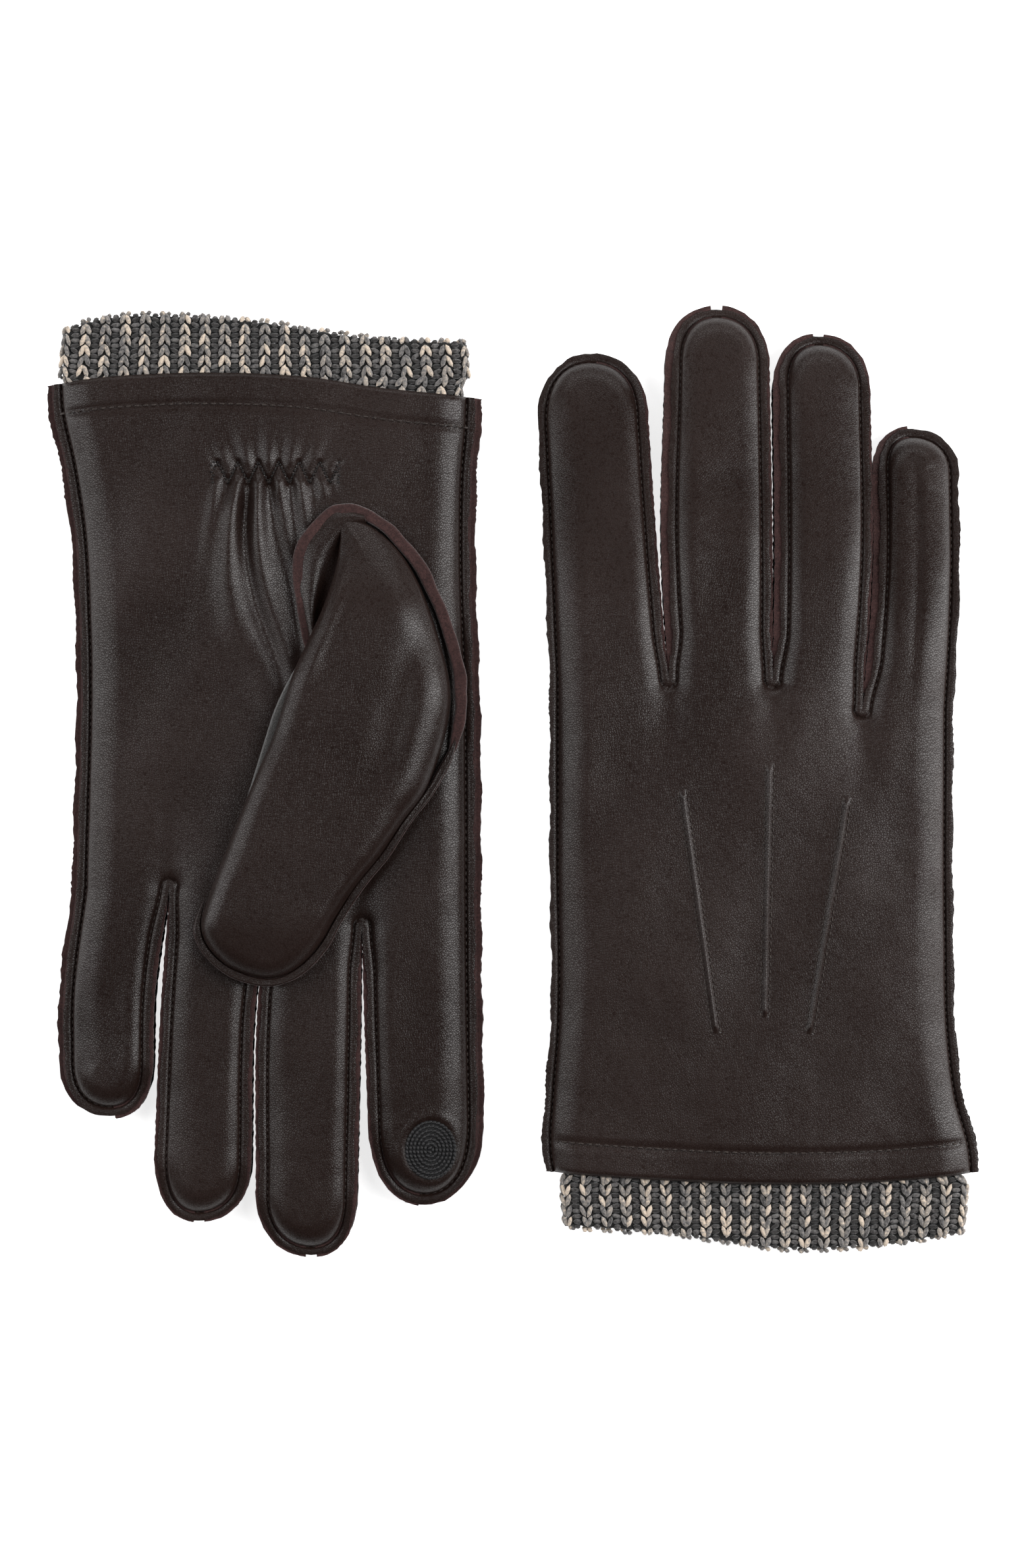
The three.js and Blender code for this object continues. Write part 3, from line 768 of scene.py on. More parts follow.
def top_line(side, edge_insets):
    """Points along the crotch line, from the thumb side to the little side: each finger's first row."""
    parts = []
    for finger in FINGERS:
        left, right = root_points(side, finger)
        middle = (left + right) / 2
        left[0] += edge_insets[0] if finger == "index" else 0
        right[0] -= edge_insets[1] if finger == "little" else 0
        loose = [float(OUTER_EDGE.get(finger) == which) for which in (0, 1)]
        points, _ = rays(np.stack([left, right]), np.stack([middle, middle]), loose)
        parts += [points[0][:-1], points[1][::-1][:-1]]
    return np.concatenate(parts + [right[None]])


def hand_grid(side, sign, edge_insets):
    """Grid of the hand: X mixes an even spread at the hem with the crotch line's own points. Its rows
    lie at shares v of the way up, closest at the hem and at the elastic, as STRETCHES says, and the
    last one is set on the crotch line itself."""
    top = top_line(side, edge_insets)
    cols = len(top)
    nodes = ray_nodes(np.array([SEAM_REACH]))[0]
    v = np.concatenate([np.linspace(a, b, n)[:-1] for a, b, n in STRETCHES])
    v[-1] = 1
    hem_line = OUTLINE[side]["hem"]
    y_guess = mix(HEM_Y, top[:, 1][None], v[:, None])
    left = side_x(side, y_guess, "thumb_side") + edge_insets[0]
    right = side_x(side, y_guess, "little_side") - edge_insets[1]
    spread = np.linspace(-1, 1, cols - 2 * TOP_HALF + 2)[1:-1]
    even = (1 + 0.45 * spread + 0.55 * spread**3) / 2
    hem_x = np.concatenate([nodes, np.zeros(len(even)), -nodes[::-1]])[None] + np.zeros_like(y_guess)
    raw = np.clip(1 - nodes / STITCH_IN, 0, 1)
    hem_x[:, :TOP_HALF] += left[:, :TOP_HALF] + raw * ragged(left, y_guess)[:, :TOP_HALF]
    hem_x[:, -TOP_HALF:] += right[:, -TOP_HALF:] - raw[::-1] * ragged(right, y_guess)[:, -TOP_HALF:]
    inner_left, inner_right = hem_x[:, TOP_HALF - 1], hem_x[:, -TOP_HALF]
    hem_x[:, TOP_HALF:-TOP_HALF] = mix(inner_left[:, None], inner_right[:, None], even[None])
    towards = smooth((v[:, None] - 0.35) / 0.65)
    stay = np.zeros(cols)
    stay[:TOP_HALF] = 1 - smooth((nodes - 4) / 8)
    stay[-TOP_HALF:] = stay[:TOP_HALF][::-1]
    towards = towards * (1 - stay * (v[:, None] < 1))
    x = mix(hem_x, top[:, 0][None], towards)
    y = mix(curve(x, hem_line), top[:, 1][None], v[:, None])
    edge_d = np.minimum(x - left, right - x).clip(0)
    z = hand_height(side, sign, x, y, edge_d)
    past_hem = y - curve(x, hem_line)
    fold = np.clip(1 - past_hem / HEM_FOLD, 0, 1)
    z = z - 1.3 * (1 - np.sqrt(1 - fold**2)) * smooth((z - 1.4) / 2)
    z = z - 0.60 * bell(past_hem - HEM_STITCH_IN, 0.9) * smooth((edge_d - STITCH_IN) / 1.5)
    return np.stack([x, y, sign * z], -1)


EDGE_INSETS = {1: (0.0, 0.0), -1: (1.9, 1.9)}
FACES = {1: "back", -1: "palm"}
hand_sheets = {}
for side in SIDES:
    for sign, face in FACES.items():
        grid = hand_grid(side, sign, EDGE_INSETS[sign])
        sheet = sheet_object(f"{side}_{face}_leather", side, sign, grid, None, [leather, suede])
        belongs(sheet, side, None, "leather", face + "_panel")
        hand_sheets[side, sign] = grid
        print(sheet.name, grid.shape[:2])

# %% [markdown]
# ## Fingers
#
# Each finger has a back and a palm of its own here, welded along its middle line. On the right glove it
# slopes down softly past its knuckle, so no gap opens there. Its outer edge is left wide or trimmed narrow
# as on the real glove: where one leather is trimmed, the flesh side of the other shows beside it as a
# reddish band.

# %% Finger sheets
INSETS = {
    1: {"index": (0.0, 0.7), "middle": (2.0, 0.7), "ring": (1.8, 0.6), "little": (1.8, 0.0)},
    -1: {"index": (1.9, 1.0), "middle": (1.0, 1.0), "ring": (1.0, 1.0), "little": (1.0, 1.9)},
}
TIP_ROLL = 6.0
TIP_THINNING = 1.5


def seam_of(finger, is_right, turn):
    """Level and roll along the outline: gusset seams sink to the outer seam's level round the tip."""
    outer = np.zeros(len(turn))
    if finger in OUTER_EDGE:
        outer = (is_right == OUTER_EDGE[finger]).astype(float)
    ease = smooth(turn)
    level = (1 - outer) * mix(INNER_SEAM["level"], 0.0, ease)
    roll = mix(mix(INNER_SEAM["roll"], OUTER_SEAM["roll"], outer), TIP_ROLL, ease)
    return level, roll


PATCH = {"across": 14.1, "along": 16.4, "below_tip": 15.8, "aside": 1.7, "deep": 0.55}


def patch_centre(side):
    """Middle of the touch patch: near the index finger's middle line, below its tip."""
    tip = OUTLINE[side]["index"]["tip"]
    return np.array([tip[0] - PATCH["aside"], tip[1] - PATCH["below_tip"]])


def finger_top(side, finger, sign, x, y):
    """The plateau over a finger, thinning by a millimetre and a half round the tip."""
    round_y, tip_y = OUTLINE[side][finger]["round"][0], OUTLINE[side][finger]["tip"][1]
    towards_tip = np.clip((y - round_y) / (tip_y - round_y), 0, 1)
    return plateau_height(side, sign, x, y) - TIP_THINNING * towards_tip**2


def finger_grid(side, finger, sign):
    """Rays of a finger lifted to the seam profile over its plateau. The index palm has a dimple with a
    raised rim for the touch patch, where rho counts half sizes of the patch from its middle."""
    outline, spine, turn, is_right = finger_outline(side, finger, INSETS[sign][finger])
    past_root = smooth((outline[:, 1] - max(point[1] for point in root_points(side, finger))) / 9)
    points, d = rays(outline, spine, np.where(is_right == OUTER_EDGE.get(finger, -1), 1, past_root))
    level, roll = seam_of(finger, is_right, turn)
    x, y = points[..., 0], points[..., 1]
    top = finger_top(side, finger, sign, x, y)
    roll = np.minimum(roll[:, None], d[:, -1:] - STITCH_IN - 0.2)
    z = seam_profile(d, top, level[:, None], roll)
    if finger == "index" and sign < 0:
        cx, cy = patch_centre(side)
        rho = np.hypot((x - cx) / PATCH["across"], (y - cy) / PATCH["along"]) * 2
        z = z - PATCH["deep"] * smooth((1.10 - rho) / 0.16) + 0.25 * bell(rho - 1.16, 0.09)
    return np.concatenate([points, (sign * z)[..., None]], -1)


finger_sheets = {}
for side in SIDES:
    for finger in FINGERS:
        for sign, face in FACES.items():
            grid = finger_grid(side, finger, sign)
            name = f"{side}_{finger}_{face}_leather"
            sheet = sheet_object(name, side, sign, grid, finger, [leather, suede], weld=True)
            belongs(sheet, side, finger, "leather", f"{finger}_{face}_strip")
            finger_sheets[side, finger, sign] = grid
print(len(finger_sheets), "finger sheets of", grid.shape[0], "rays")

# %% [markdown]
# ## Gussets
#
# Between two fingers a narrow strip of leather, the fourchette, runs up one finger, down the next and
# folds round the crotch. Sewn in with its edges outwards, its section is a C: an edge under the back
# leather, a wall that sags inwards a little, and an edge over the palm leather. Here each finger side
# carries that C along its outline, and a half turn of it goes round each crotch. It shows between the
# fingers as a band of suede below the trimmed edge of the back.

# %% Gussets beside the fingers and round the crotches
GUSSET_LEATHER = 0.8
WALL_STEPS = 9
CROTCH_STEPS = 17
TIP_LEVEL = 0.35
LEAST_TRIM = 0.3


def gusset_section(level, stitch_in):
    """Offsets inwards and heights of the C, from the back's edge to the palm's: two flats and an arc."""
    flat = np.array([0.0, 0.35, 0.7, 0.95])
    out = flat[None] * stitch_in[:, None]
    angle = np.linspace(np.pi / 2, -np.pi / 2, WALL_STEPS)
    sag = 0.7 * np.minimum(1, level / 1.5)
    wall_in = stitch_in[:, None] + 0.25 + sag[:, None] * np.cos(angle)
    inwards = np.concatenate([out, wall_in, out[:, ::-1]], 1)
    lip = np.broadcast_to(level[:, None], out.shape)
    wall_z = level[:, None] * np.sin(angle)
    height = np.concatenate([lip, wall_z, -lip], 1)
    return inwards, height


def side_gusset_grid(side, finger, which):
    """The C carried up one edge of a finger and round its tip, to the last ray before the middle."""
    outline, spine, turn, is_right = finger_outline(side, finger, (0, 0))
    keep = (is_right == which) & (turn < 1)
    edge, middle, turn = outline[keep], spine[keep], turn[keep]
    if which == 1:
        edge, middle, turn = edge[::-1], middle[::-1], turn[::-1]
    trim = max(INSETS[1][finger][which], LEAST_TRIM)
    clear = smooth((edge[:, 1] - root_points(side, finger)[which][1]) / CROTCH_CLEAR)
    stitch_in = STITCH_IN + trim * clear - 0.1
    level = mix(GUSSET_LEVEL, TIP_LEVEL, smooth(turn))
    inwards, height = gusset_section(level, stitch_in)
    way = unit(middle - edge)
    frayed = 0.16 * np.sin(edge[:, 1] * 2.1 + 1.7 * which) * np.sin(edge[:, 1] * 0.83)
    inwards[:, 0] += frayed
    inwards[:, -1] -= frayed
    flat = edge[:, None] + way[:, None] * inwards[..., None]
    return np.concatenate([flat, height[..., None]], -1)


def crotch_gusset_grid(side, k):
    """Half a turn of the C about a crotch point, on the hand's side of it."""
    cx, cy = OUTLINE[side]["crotch"][k]
    angle = np.linspace(np.pi, 2 * np.pi, CROTCH_STEPS)
    steps = np.ones(len(angle))
    inwards, height = gusset_section(GUSSET_LEVEL * steps, (STITCH_IN - 0.1) * steps)
    x = cx + inwards * np.cos(angle)[:, None]
    y = cy + inwards * np.sin(angle)[:, None]
    return np.stack([x, y, height], -1)


for side in SIDES:
    for k, (first, second) in enumerate(zip(FINGERS, FINGERS[1:])):
        for finger, neighbour, which in ((first, second, 1), (second, first, 0)):
            grid = side_gusset_grid(side, finger, which)
            sign = 1 if which else -1
            name = f"{side}_{finger}_gusset_by_{neighbour}"
            piece = sheet_object(name, side, sign, grid, finger, [leather, suede], GUSSET_LEATHER)
            belongs(piece, side, finger, "leather", f"{finger}_sidewall_by_{neighbour}")
        grid = crotch_gusset_grid(side, k)
        name = f"{side}_{first}_{second}_crotch"
        piece = sheet_object(name, side, 1, grid, None, [leather, suede], GUSSET_LEATHER, weld=True)
        belongs(piece, side, None, "leather", f"fourchette_{first}_{second}")
print("gussets made")

# %% [markdown]
# ## Seams
#
# A glove is sewn with short stitches, about five to the centimetre, in thread nearly the colour of the
# leather. Each stitch is one bead of thread that bridges two holes, so a seam is a row of beads along
# the stitch line, half sunk in the groove that is already there. The beads of a finger bend with it.

# %% Stitches along the seams
STITCH_PITCH = 1.9
STITCH_SHARE = 0.72
STITCH_RADIUS = 0.26
HEM_SEAM = {"pitch": 2.3, "radius": 0.30, "row_y": -98.0, "ends_in": 3.2, "sunk": 0.30}


def sewn_rows(name, side, finger, paths, sign, pitch=STITCH_PITCH, radius=STITCH_RADIUS, finish=thread):
    """Beads of thread along paths of glove points, each filling its share of the pitch."""
    spots, ways = zip(*(resample(path, pitch) for path in paths))
    centres, along = np.concatenate(spots), np.concatenate(ways)
    up = np.zeros_like(centres)
    up[:, 2] = sign
    piece = scatter(name, side, finger, centres, along, up, pitch * STITCH_SHARE, radius, finish)
    return belongs(piece, side, finger, "leather")


STITCH_NODE = int(np.argmin(np.abs(RAY_NODES - STITCH_IN)))
for side in SIDES:
    for sign, face in FACES.items():
        lift = np.array([0, 0, sign * 0.10])
        for finger in FINGERS:
            path = finger_sheets[side, finger, sign][:, STITCH_NODE] + lift
            sewn_rows(f"{side}_{finger}_{face}_stitches", side, finger, [path], sign)
        grid = hand_sheets[side, sign]
        paths = [grid[3:, STITCH_NODE] + lift, grid[3:, -1 - STITCH_NODE] + lift]
        for cx, cy in OUTLINE[side]["crotch"]:
            angle = np.linspace(np.pi, 2 * np.pi, 25)
            x, y = cx + STITCH_IN * np.cos(angle), cy + STITCH_IN * np.sin(angle)
            z = np.full(len(angle), sign * (GUSSET_LEVEL + 0.7))
            paths.append(np.stack([x, y, z], -1))
        sewn_rows(f"{side}_hand_{face}_stitches", side, None, paths, sign)


def on_sheet(side, sign, xy, lift=0.0):
    """Points over X and Y on the hand's back or palm leather by its height function, lifted off it."""
    x, y = np.moveaxis(np.asarray(xy, float), -1, 0)
    edge_d = np.minimum(x - side_x(side, y, "thumb_side"), side_x(side, y, "little_side") - x)
    z = hand_height(side, sign, x, y, edge_d)
    return np.stack([x, y, sign * (z + lift)], -1)


def hem_stitches(side, sign):
    """A row of stitches a fixed distance inside the hem's edge."""
    left, right = (side_x(side, HEM_SEAM["row_y"], line) for line in ("thumb_side", "little_side"))
    x = np.linspace(left + HEM_SEAM["ends_in"], right - HEM_SEAM["ends_in"], 120)
    y = curve(x, OUTLINE[side]["hem"]) + HEM_STITCH_IN
    path = on_sheet(side, sign, np.stack([x, y], -1), -HEM_SEAM["sunk"])
    name = f"{side}_{FACES[sign]}_hem_stitches"
    return sewn_rows(name, side, None, [path], sign, HEM_SEAM["pitch"], HEM_SEAM["radius"])


for side in SIDES:
    for sign in FACES:
        hem_stitches(side, sign)
print("seams sewn")

# %% [markdown]
# ## The three points
#
# Three narrow tucks decorate the back: a fold of leather pinched up and sewn through on both sides.
# Each is a strip laid along its line whose section is a bell, `rise * exp(-(w / width)^2)`, running
# out to nothing under the rows of stitches beside it and at both ends.

# %% Points on the back
POINTS = (
    ((-19.0, -1.5), (-9.7, -67.8)),
    ((4.8, 5.8), (3.4, -63.4)),
    ((26.0, -3.4), (15.4, -67.9)),
)
POINT_HALF = 1.45
POINT_RISE = 0.85
POINT_BELL = 0.62
POINT_STITCH_OUT = 1.2
POINT_ROWS = 140
POINT_COLUMNS = 19


def point_line(ends, offset):
    """Points along a tuck's line, moved sideways by offset."""
    start, end = np.array(ends, float)
    t = np.linspace(0, 1, POINT_ROWS)[:, None]
    along = (end - start) / np.linalg.norm(end - start)
    return start + (end - start) * t + offset * np.array([-along[1], along[0]])


offsets = np.linspace(-POINT_HALF, POINT_HALF, POINT_COLUMNS)
t = np.linspace(0, 1, POINT_ROWS)[:, None]
taper = smooth(t / 0.03) * smooth((1 - t) / 0.03)
fold = POINT_RISE * bell(offsets, POINT_BELL) - 0.22 * bell(np.abs(offsets) - 1.15, 0.25)
point_lift = fold * taper + 0.10 * (1 - (np.abs(offsets) / POINT_HALF) ** 4) - 0.03
for side in SIDES:
    for label, ends in zip(FINGERS, POINTS):
        grid = on_sheet(side, 1, np.stack([point_line(ends, w) for w in offsets], 1))
        grid[..., 2] += point_lift
        tuck = sheet_object(f"{side}_point_{label}", side, -1, grid, None, [leather, suede], 0.4)
        belongs(tuck, side, None, "leather")
        lines = [point_line(ends, w) for w in (-POINT_STITCH_OUT, POINT_STITCH_OUT)]
        paths = [on_sheet(side, 1, line, 0.02) for line in lines]
        sewn_rows(f"{side}_point_{label}_stitches", side, None, paths, 1, radius=0.24)
print("points made")

# %% [markdown]
# ## Thumbs
#
# The thumb is a flattened tube of leather sewn round a hole in the palm, then folded flat over it. Seen
# from the palm it is a leaf. One long edge is a smooth fold, the other is a seam, and round its base
# the seam's raw edges stand up as a thick suede band. Its outline is a smooth closed curve, walked with
# the same rays as a finger, now towards a straight middle line. The height over the palm is a rounded
# section: at the fold, top and bottom meet halfway up; at the seam they close down to the band.

# %% Thumb outline and section
THUMB_BASE = np.array([-25.0, -60.0])
THUMB_END = np.array([3.5, 37.5])
THUMB_EDGE = [
    (-18.0, -72.6), (-24.0, -71.4), (-30.4, -66.8), (-35.6, -60.6), (-40.2, -51.6), (-44.0, -40.6),
    (-46.6, -31.2), (-47.5, -24.4), (-47.1, -18.6), (-45.4, -11.0), (-42.8, -3.2), (-39.8, 3.2),
    (-34.4, 10.4), (-28.4, 19.4), (-21.8, 27.6), (-16.2, 36.2), (-12.2, 43.0), (-8.0, 48.2),
    (-3.2, 51.7), (1.8, 53.1), (6.9, 52.4), (12.8, 50.0), (17.2, 46.4), (19.8, 42.4), (20.6, 38.2),
    (18.9, 31.6), (15.5, 22.2), (11.9, 13.2), (7.6, 2.6), (4.0, -6.1), (0.8, -13.8), (-4.2, -29.4),
    (-8.6, -39.2), (-12.7, -48.4), (-16.0, -58.6), (-17.2, -66.0),
]
THUMB_TOP = 10.6
THUMB_NODES = np.array([0, 0.12, 0.3, 0.6, 1.0, 1.5, 2.1, 2.8, 3.6, 4.6])
THUMB_INNER_NODES = 13
SEAM_END = 26 / len(THUMB_EDGE)
PALM_FACE = HALF_HAND + 0.25


def catmull_rom(before, start, end, after, steps):
    """Points between start and end on the cubic whose slopes there are (end - before) / 2 and
    (after - start) / 2, with so many steps to each span."""
    t = np.linspace(0, 1, steps, endpoint=False)[None, :, None]
    a, b, c, d = (points[:, None] for points in (before, start, end, after))
    bent = (2 * a - 5 * b + 4 * c - d) * t**2 + (3 * b - a - 3 * c + d) * t**3
    return (0.5 * (2 * b + (c - a) * t + bent)).reshape(-1, 2)


def closed_spline(points, steps):
    """Catmull-Rom through a closed ring of points."""
    p = np.array(points, float)
    return catmull_rom(np.roll(p, 1, 0), p, np.roll(p, -1, 0), np.roll(p, -2, 0), steps)


def open_spline(points, steps):
    """Catmull-Rom through an open row of points, with one more point guessed beyond each end."""
    p = np.array(points, float)
    p = np.concatenate([[2 * p[0] - p[1]], p, [2 * p[-1] - p[-2]]])
    return np.concatenate([catmull_rom(p[:-3], p[1:-2], p[2:-1], p[3:], steps), p[-2][None]])


def thumb_rays():
    """Rays from the outline to the nearest point of the thumb's middle line. With the points come their
    true distance to the edge, and which share of the way round the outline is nearest."""
    outline = closed_spline(THUMB_EDGE, 7)
    line = THUMB_END - THUMB_BASE
    share = np.clip((outline - THUMB_BASE) @ line / (line @ line), 0.0, 1)
    spine = THUMB_BASE + share[:, None] * line
    last = THUMB_NODES[-1]
    reach = np.linalg.norm(spine - outline, axis=1)
    rest = last + (reach[:, None] - last) * np.linspace(0, 1, THUMB_INNER_NODES)[None, 1:]
    along = np.concatenate([np.repeat(THUMB_NODES[None], len(reach), 0), rest], 1)
    points = outline[:, None] + (spine - outline)[:, None] * (along / reach[:, None])[..., None]
    gaps = np.linalg.norm(points[:, :, None] - outline[None, None], axis=-1)
    return points, gaps.min(-1), gaps.argmin(-1) / len(outline)


def thumb_heights(points, d, at):
    """Heights over the palm of the thumb's upper and lower face. Its edge is a seam up to SEAM_END of
    the way round and a fold after it; the top is low at the base and the tip, and has one soft crease
    and one ridge."""
    x, y = points[..., 0], points[..., 1]
    is_fold = smooth((at - SEAM_END) / 0.05) * smooth((1.0 - at) / 0.03)
    rise_from_base = smooth((y + 76) / 34)
    top = mix(3.6, THUMB_TOP, rise_from_base) - 2.2 * smooth((y - 34) / 22)
    top = top + 0.5 * np.sin((y + 20) / 21) * smooth((y + 60) / 30)
    crease = bell(x + 27 - 0.30 * y, 4.5) * smooth((y + 55) / 20) * smooth((4 - y) / 18)
    ridge = bell(x + 12 - 0.33 * (y + 40), 2.6) * smooth((y + 58) / 10) * smooth((-22 - y) / 14)
    top = top - 0.9 * crease + 0.7 * ridge
    seam_level = mix(1.5, 4.2, smooth((y + 8) / 22))
    edge_level = mix(seam_level, top * 0.52, is_fold)
    roll = mix(mix(9.0, 5.0, smooth((y + 20) / 50)), 4.6, is_fold)
    arc = np.sqrt(1 - (1 - np.clip(d / roll, 0, 1)) ** 2)
    upper = edge_level + (top - edge_level) * arc
    lower = edge_level * (1 - arc) + 0.15 * arc
    return upper, lower


thumb_points, thumb_d, thumb_at = thumb_rays()
thumb_upper, thumb_lower = thumb_heights(thumb_points, thumb_d, thumb_at)
print("thumb grid", thumb_points.shape[:2])

# %% [markdown]
# ## Thumb leather and hole
#
# The upper and lower face share their outline, so one closed ring of columns holds both: across the
# top from the edge to the middle and back along the underside. Faces over the hole in the palm are
# left out, so that the thumb is open to the hand. Beside the fold, inside the band, a small hollow
# of palm leather runs down into a dark crease; it is a strip between the band and the fold's foot.
# From the band's end a welt of leather runs on round the tip, with a thin raw edge showing beside it.

# %% Thumb pieces
THUMB_HOLE = {"x": -28.0, "y": -38.0, "across": 22.0, "along": 38.0}
HOLE_DEPTH = 0.0021


def over_palm(points, height):
    """Glove points at a height over the palm's outer face, which looks along -Z."""
    return np.concatenate([points, -(PALM_FACE + height)[..., None]], -1)


def drop_faces_over_hole(piece, side):
    """Deletes the faces near the palm's face whose middle lies in the elliptical thumb hole."""
    middle = np.empty(len(piece.data.polygons) * 3)
    piece.data.polygons.foreach_get("center", middle)
    away = middle.reshape(-1, 3) - place(side, [THUMB_HOLE["x"], THUMB_HOLE["y"], -PALM_FACE])
    radii = np.array([THUMB_HOLE["across"], THUMB_HOLE["along"]]) / 2000
    over = ((away[:, :2] / radii) ** 2).sum(1) < 1
    over &= np.abs(away[:, 2]) < HOLE_DEPTH
    shape = bmesh.new()
    shape.from_mesh(piece.data)
    shape.faces.ensure_lookup_table()
    bmesh.ops.delete(shape, geom=[shape.faces[k] for k in np.flatnonzero(over)], context="FACES")
    shape.to_mesh(piece.data)
    shape.free()


def with_thumb(piece, side, slot, *nodes):
    """Keeps the piece where it lies, with its transform baked; stands for nodes."""
    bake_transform(piece)
    return stands_for(piece, side, nodes)


for side in SIDES:
    drop_faces_over_hole(bpy.data.objects[side + "_palm_leather"], side)
    grid = np.concatenate(
        [over_palm(thumb_points, thumb_upper), over_palm(thumb_points, thumb_lower)[:, ::-1]], 1
    )
    grid = np.concatenate([grid, grid[:1]])
    thumb = sheet_object(f"{side}_thumb_shell", side, -1, grid, None, [leather, suede], 0.9, weld=True)
    drop_faces_over_hole(thumb, side)
    with_thumb(thumb, side, "leather", "thumb_leather")

# %% Thumb seam band and welt
BAND_LINE = [
    (-9.4, -33.0), (-8.2, -41.2), (-6.6, -49.5), (-6.0, -56.0), (-6.4, -63.6), (-9.6, -69.2), (-14.3, -73.9),
    (-18.7, -75.1), (-23.7, -74.1), (-29.2, -70.6), (-34.4, -65.4), (-39.4, -59.2), (-43.4, -50.9),
    (-47.0, -40.8), (-49.6, -31.6), (-50.4, -24.6), (-50.0, -18.8), (-48.4, -11.2), (-46.4, -6.0),
]
WELT_LINE = [
    (-49.6, -15.0), (-47.6, -8.6), (-44.4, -2.4), (-41.2, 3.0), (-35.6, 10.4), (-29.5, 19.6), (-22.9, 27.7),
    (-17.2, 36.5), (-13.2, 43.8), (-8.6, 49.2), (-3.4, 52.8), (1.8, 54.2), (7.2, 53.5), (13.4, 51.0),
    (18.0, 47.2), (20.9, 42.8), (21.6, 38.2), (20.0, 32.0),
]
SPAN_STEPS = 8
BAR_COLUMNS = 20
BAR_POWER = 0.55


def swept(line, widths, heights, bases):
    """A rounded bar along a line of X and Y: an ellipse-cornered section, width by height, on a base,
    with a shallow notch along the middle of its top."""
    ahead = unit(np.gradient(line, axis=0))
    aside = np.stack([-ahead[:, 1], ahead[:, 0]], 1)
    turn = np.linspace(0, 2 * np.pi, BAR_COLUMNS, endpoint=False)
    u, w = (np.sign(wave) * np.abs(wave) ** BAR_POWER for wave in (np.cos(turn), np.sin(turn)))
    notch = 0.16 * bell(np.cos(turn), 0.2) * (np.sin(turn) > 0)
    out = u[None] * widths[:, None] / 2
    up = bases[:, None] + (w[None] + 1 - 2 * notch) / 2 * heights[:, None]
    flat = line[:, None] + aside[:, None] * out[..., None]
    return np.concatenate([flat, up[..., None]], -1)


def bar_object(name, side, bar, materials):
    """A swept bar over the palm, closed with a small cap at each end."""
    grid = np.concatenate([bar[..., :2], -(PALM_FACE + bar[..., 2:])], -1)
    first, last = (np.repeat(grid[k].mean(0)[None, None], grid.shape[1], 1) for k in (0, -1))
    grid = np.concatenate([first, grid, last])
    faces = grid_faces(len(grid), grid.shape[1], wrap=True, flip=side == "left")
    return mesh_object(name, place(side, grid), faces, materials, weld=True)


def wobble(t, size, seed):
    """A slow uneven wave of the given size: three sines of unlike length."""
    waves = np.sin(31 * t + seed) + 0.6 * np.sin(67 * t + 2 * seed) + 0.4 * np.sin(113 * t + 3 * seed)
    return size * waves / 2


def shares(line):
    """Even shares from 0 to 1 for the points of a line."""
    return np.linspace(0, 1, len(line))


band_line = open_spline(BAND_LINE, SPAN_STEPS)
t = shares(band_line)
ends = smooth(t / 0.06) * smooth((1 - t) / 0.10)
band_line = band_line + wobble(t, 0.25, 1.0)[:, None] * np.array([1.0, 0.4])
widths = (3.4 + wobble(t, 0.35, 2.0)) * mix(0.35, 1, ends)
heights = (2.3 + wobble(t, 0.3, 0.5)) * mix(0.4, 1, ends)
band = swept(band_line, widths, heights, np.full(len(t), -0.25))

welt_line = open_spline(WELT_LINE, SPAN_STEPS)
t = shares(welt_line)
ends = smooth(t / 0.10) * smooth((1 - t) / 0.10)
bases = mix(0.4, 3.1, smooth((welt_line[:, 1] + 8) / 24))
widths = (2.1 + wobble(t, 0.2, 4.0)) * mix(0.3, 1, ends)
heights = (1.7 + wobble(t, 0.15, 1.5)) * mix(0.5, 1, ends)
welt = swept(welt_line, widths, heights, bases)
flesh = swept(welt_line, widths * 1.12, 0.7 * mix(0.5, 1, ends), bases + 0.35)

for side in SIDES:
    for label, bar, finish in (("band", band, suede), ("welt", welt, leather), ("welt_edge", flesh, suede)):
        with_thumb(bar_object(f"{side}_thumb_{label}", side, bar, [finish]), side, "leather")


FOLD_FOOT = [(-12, -33), (-14, -45), (-18, -56), (-21, -64), (-25, -69.5)]


def hollow_grid():
    """Strip from the band's inner side to under the fold: a low swell, then down into the crease."""
    outer = open_spline(BAND_LINE[:9], SPAN_STEPS)
    foot = open_spline(FOLD_FOOT, SPAN_STEPS)
    inner = np.stack([np.interp(shares(outer), shares(foot), foot[:, k]) for k in range(2)], 1)
    w = np.linspace(0, 1, 16)
    flat = outer[:, None] + (inner - outer)[:, None] * w[None, :, None]
    swell = 1.2 + 1.5 * np.sin(np.pi * np.clip(w * 1.5, 0, 1))
    swell = swell * (1 - smooth((w - 0.45) / 0.35)) + 0.15
    return over_palm(flat, np.broadcast_to(swell, flat.shape[:2]))


for side in SIDES:
    piece = sheet_object(side + "_thumb_hollow", side, -1, hollow_grid(), None, [leather, suede], 0.5)
    with_thumb(piece, side, "leather")
print("thumbs made")

# %% [markdown]
# ## Zigzag over the elastic
#
# The elastic is sewn in under tension with a zigzag stitch, closed by a short bar of stitches at each
# end. The thread lies in the groove that the palm's height function already has along the same wave.

# %% Zigzag stitching and bars
BAR_REACH = 3.3


def zigzag_path(side):
    """The zigzag as a dense row of palm points."""
    x = np.linspace(ZIGZAG["low"] + 1.2, ZIGZAG["high"] - 1.2, 500)
    y = ELASTIC_Y + ZIGZAG["half"] * zigzag_wave(x)
    return on_sheet(side, -1, np.stack([x, y], -1), 0.34)


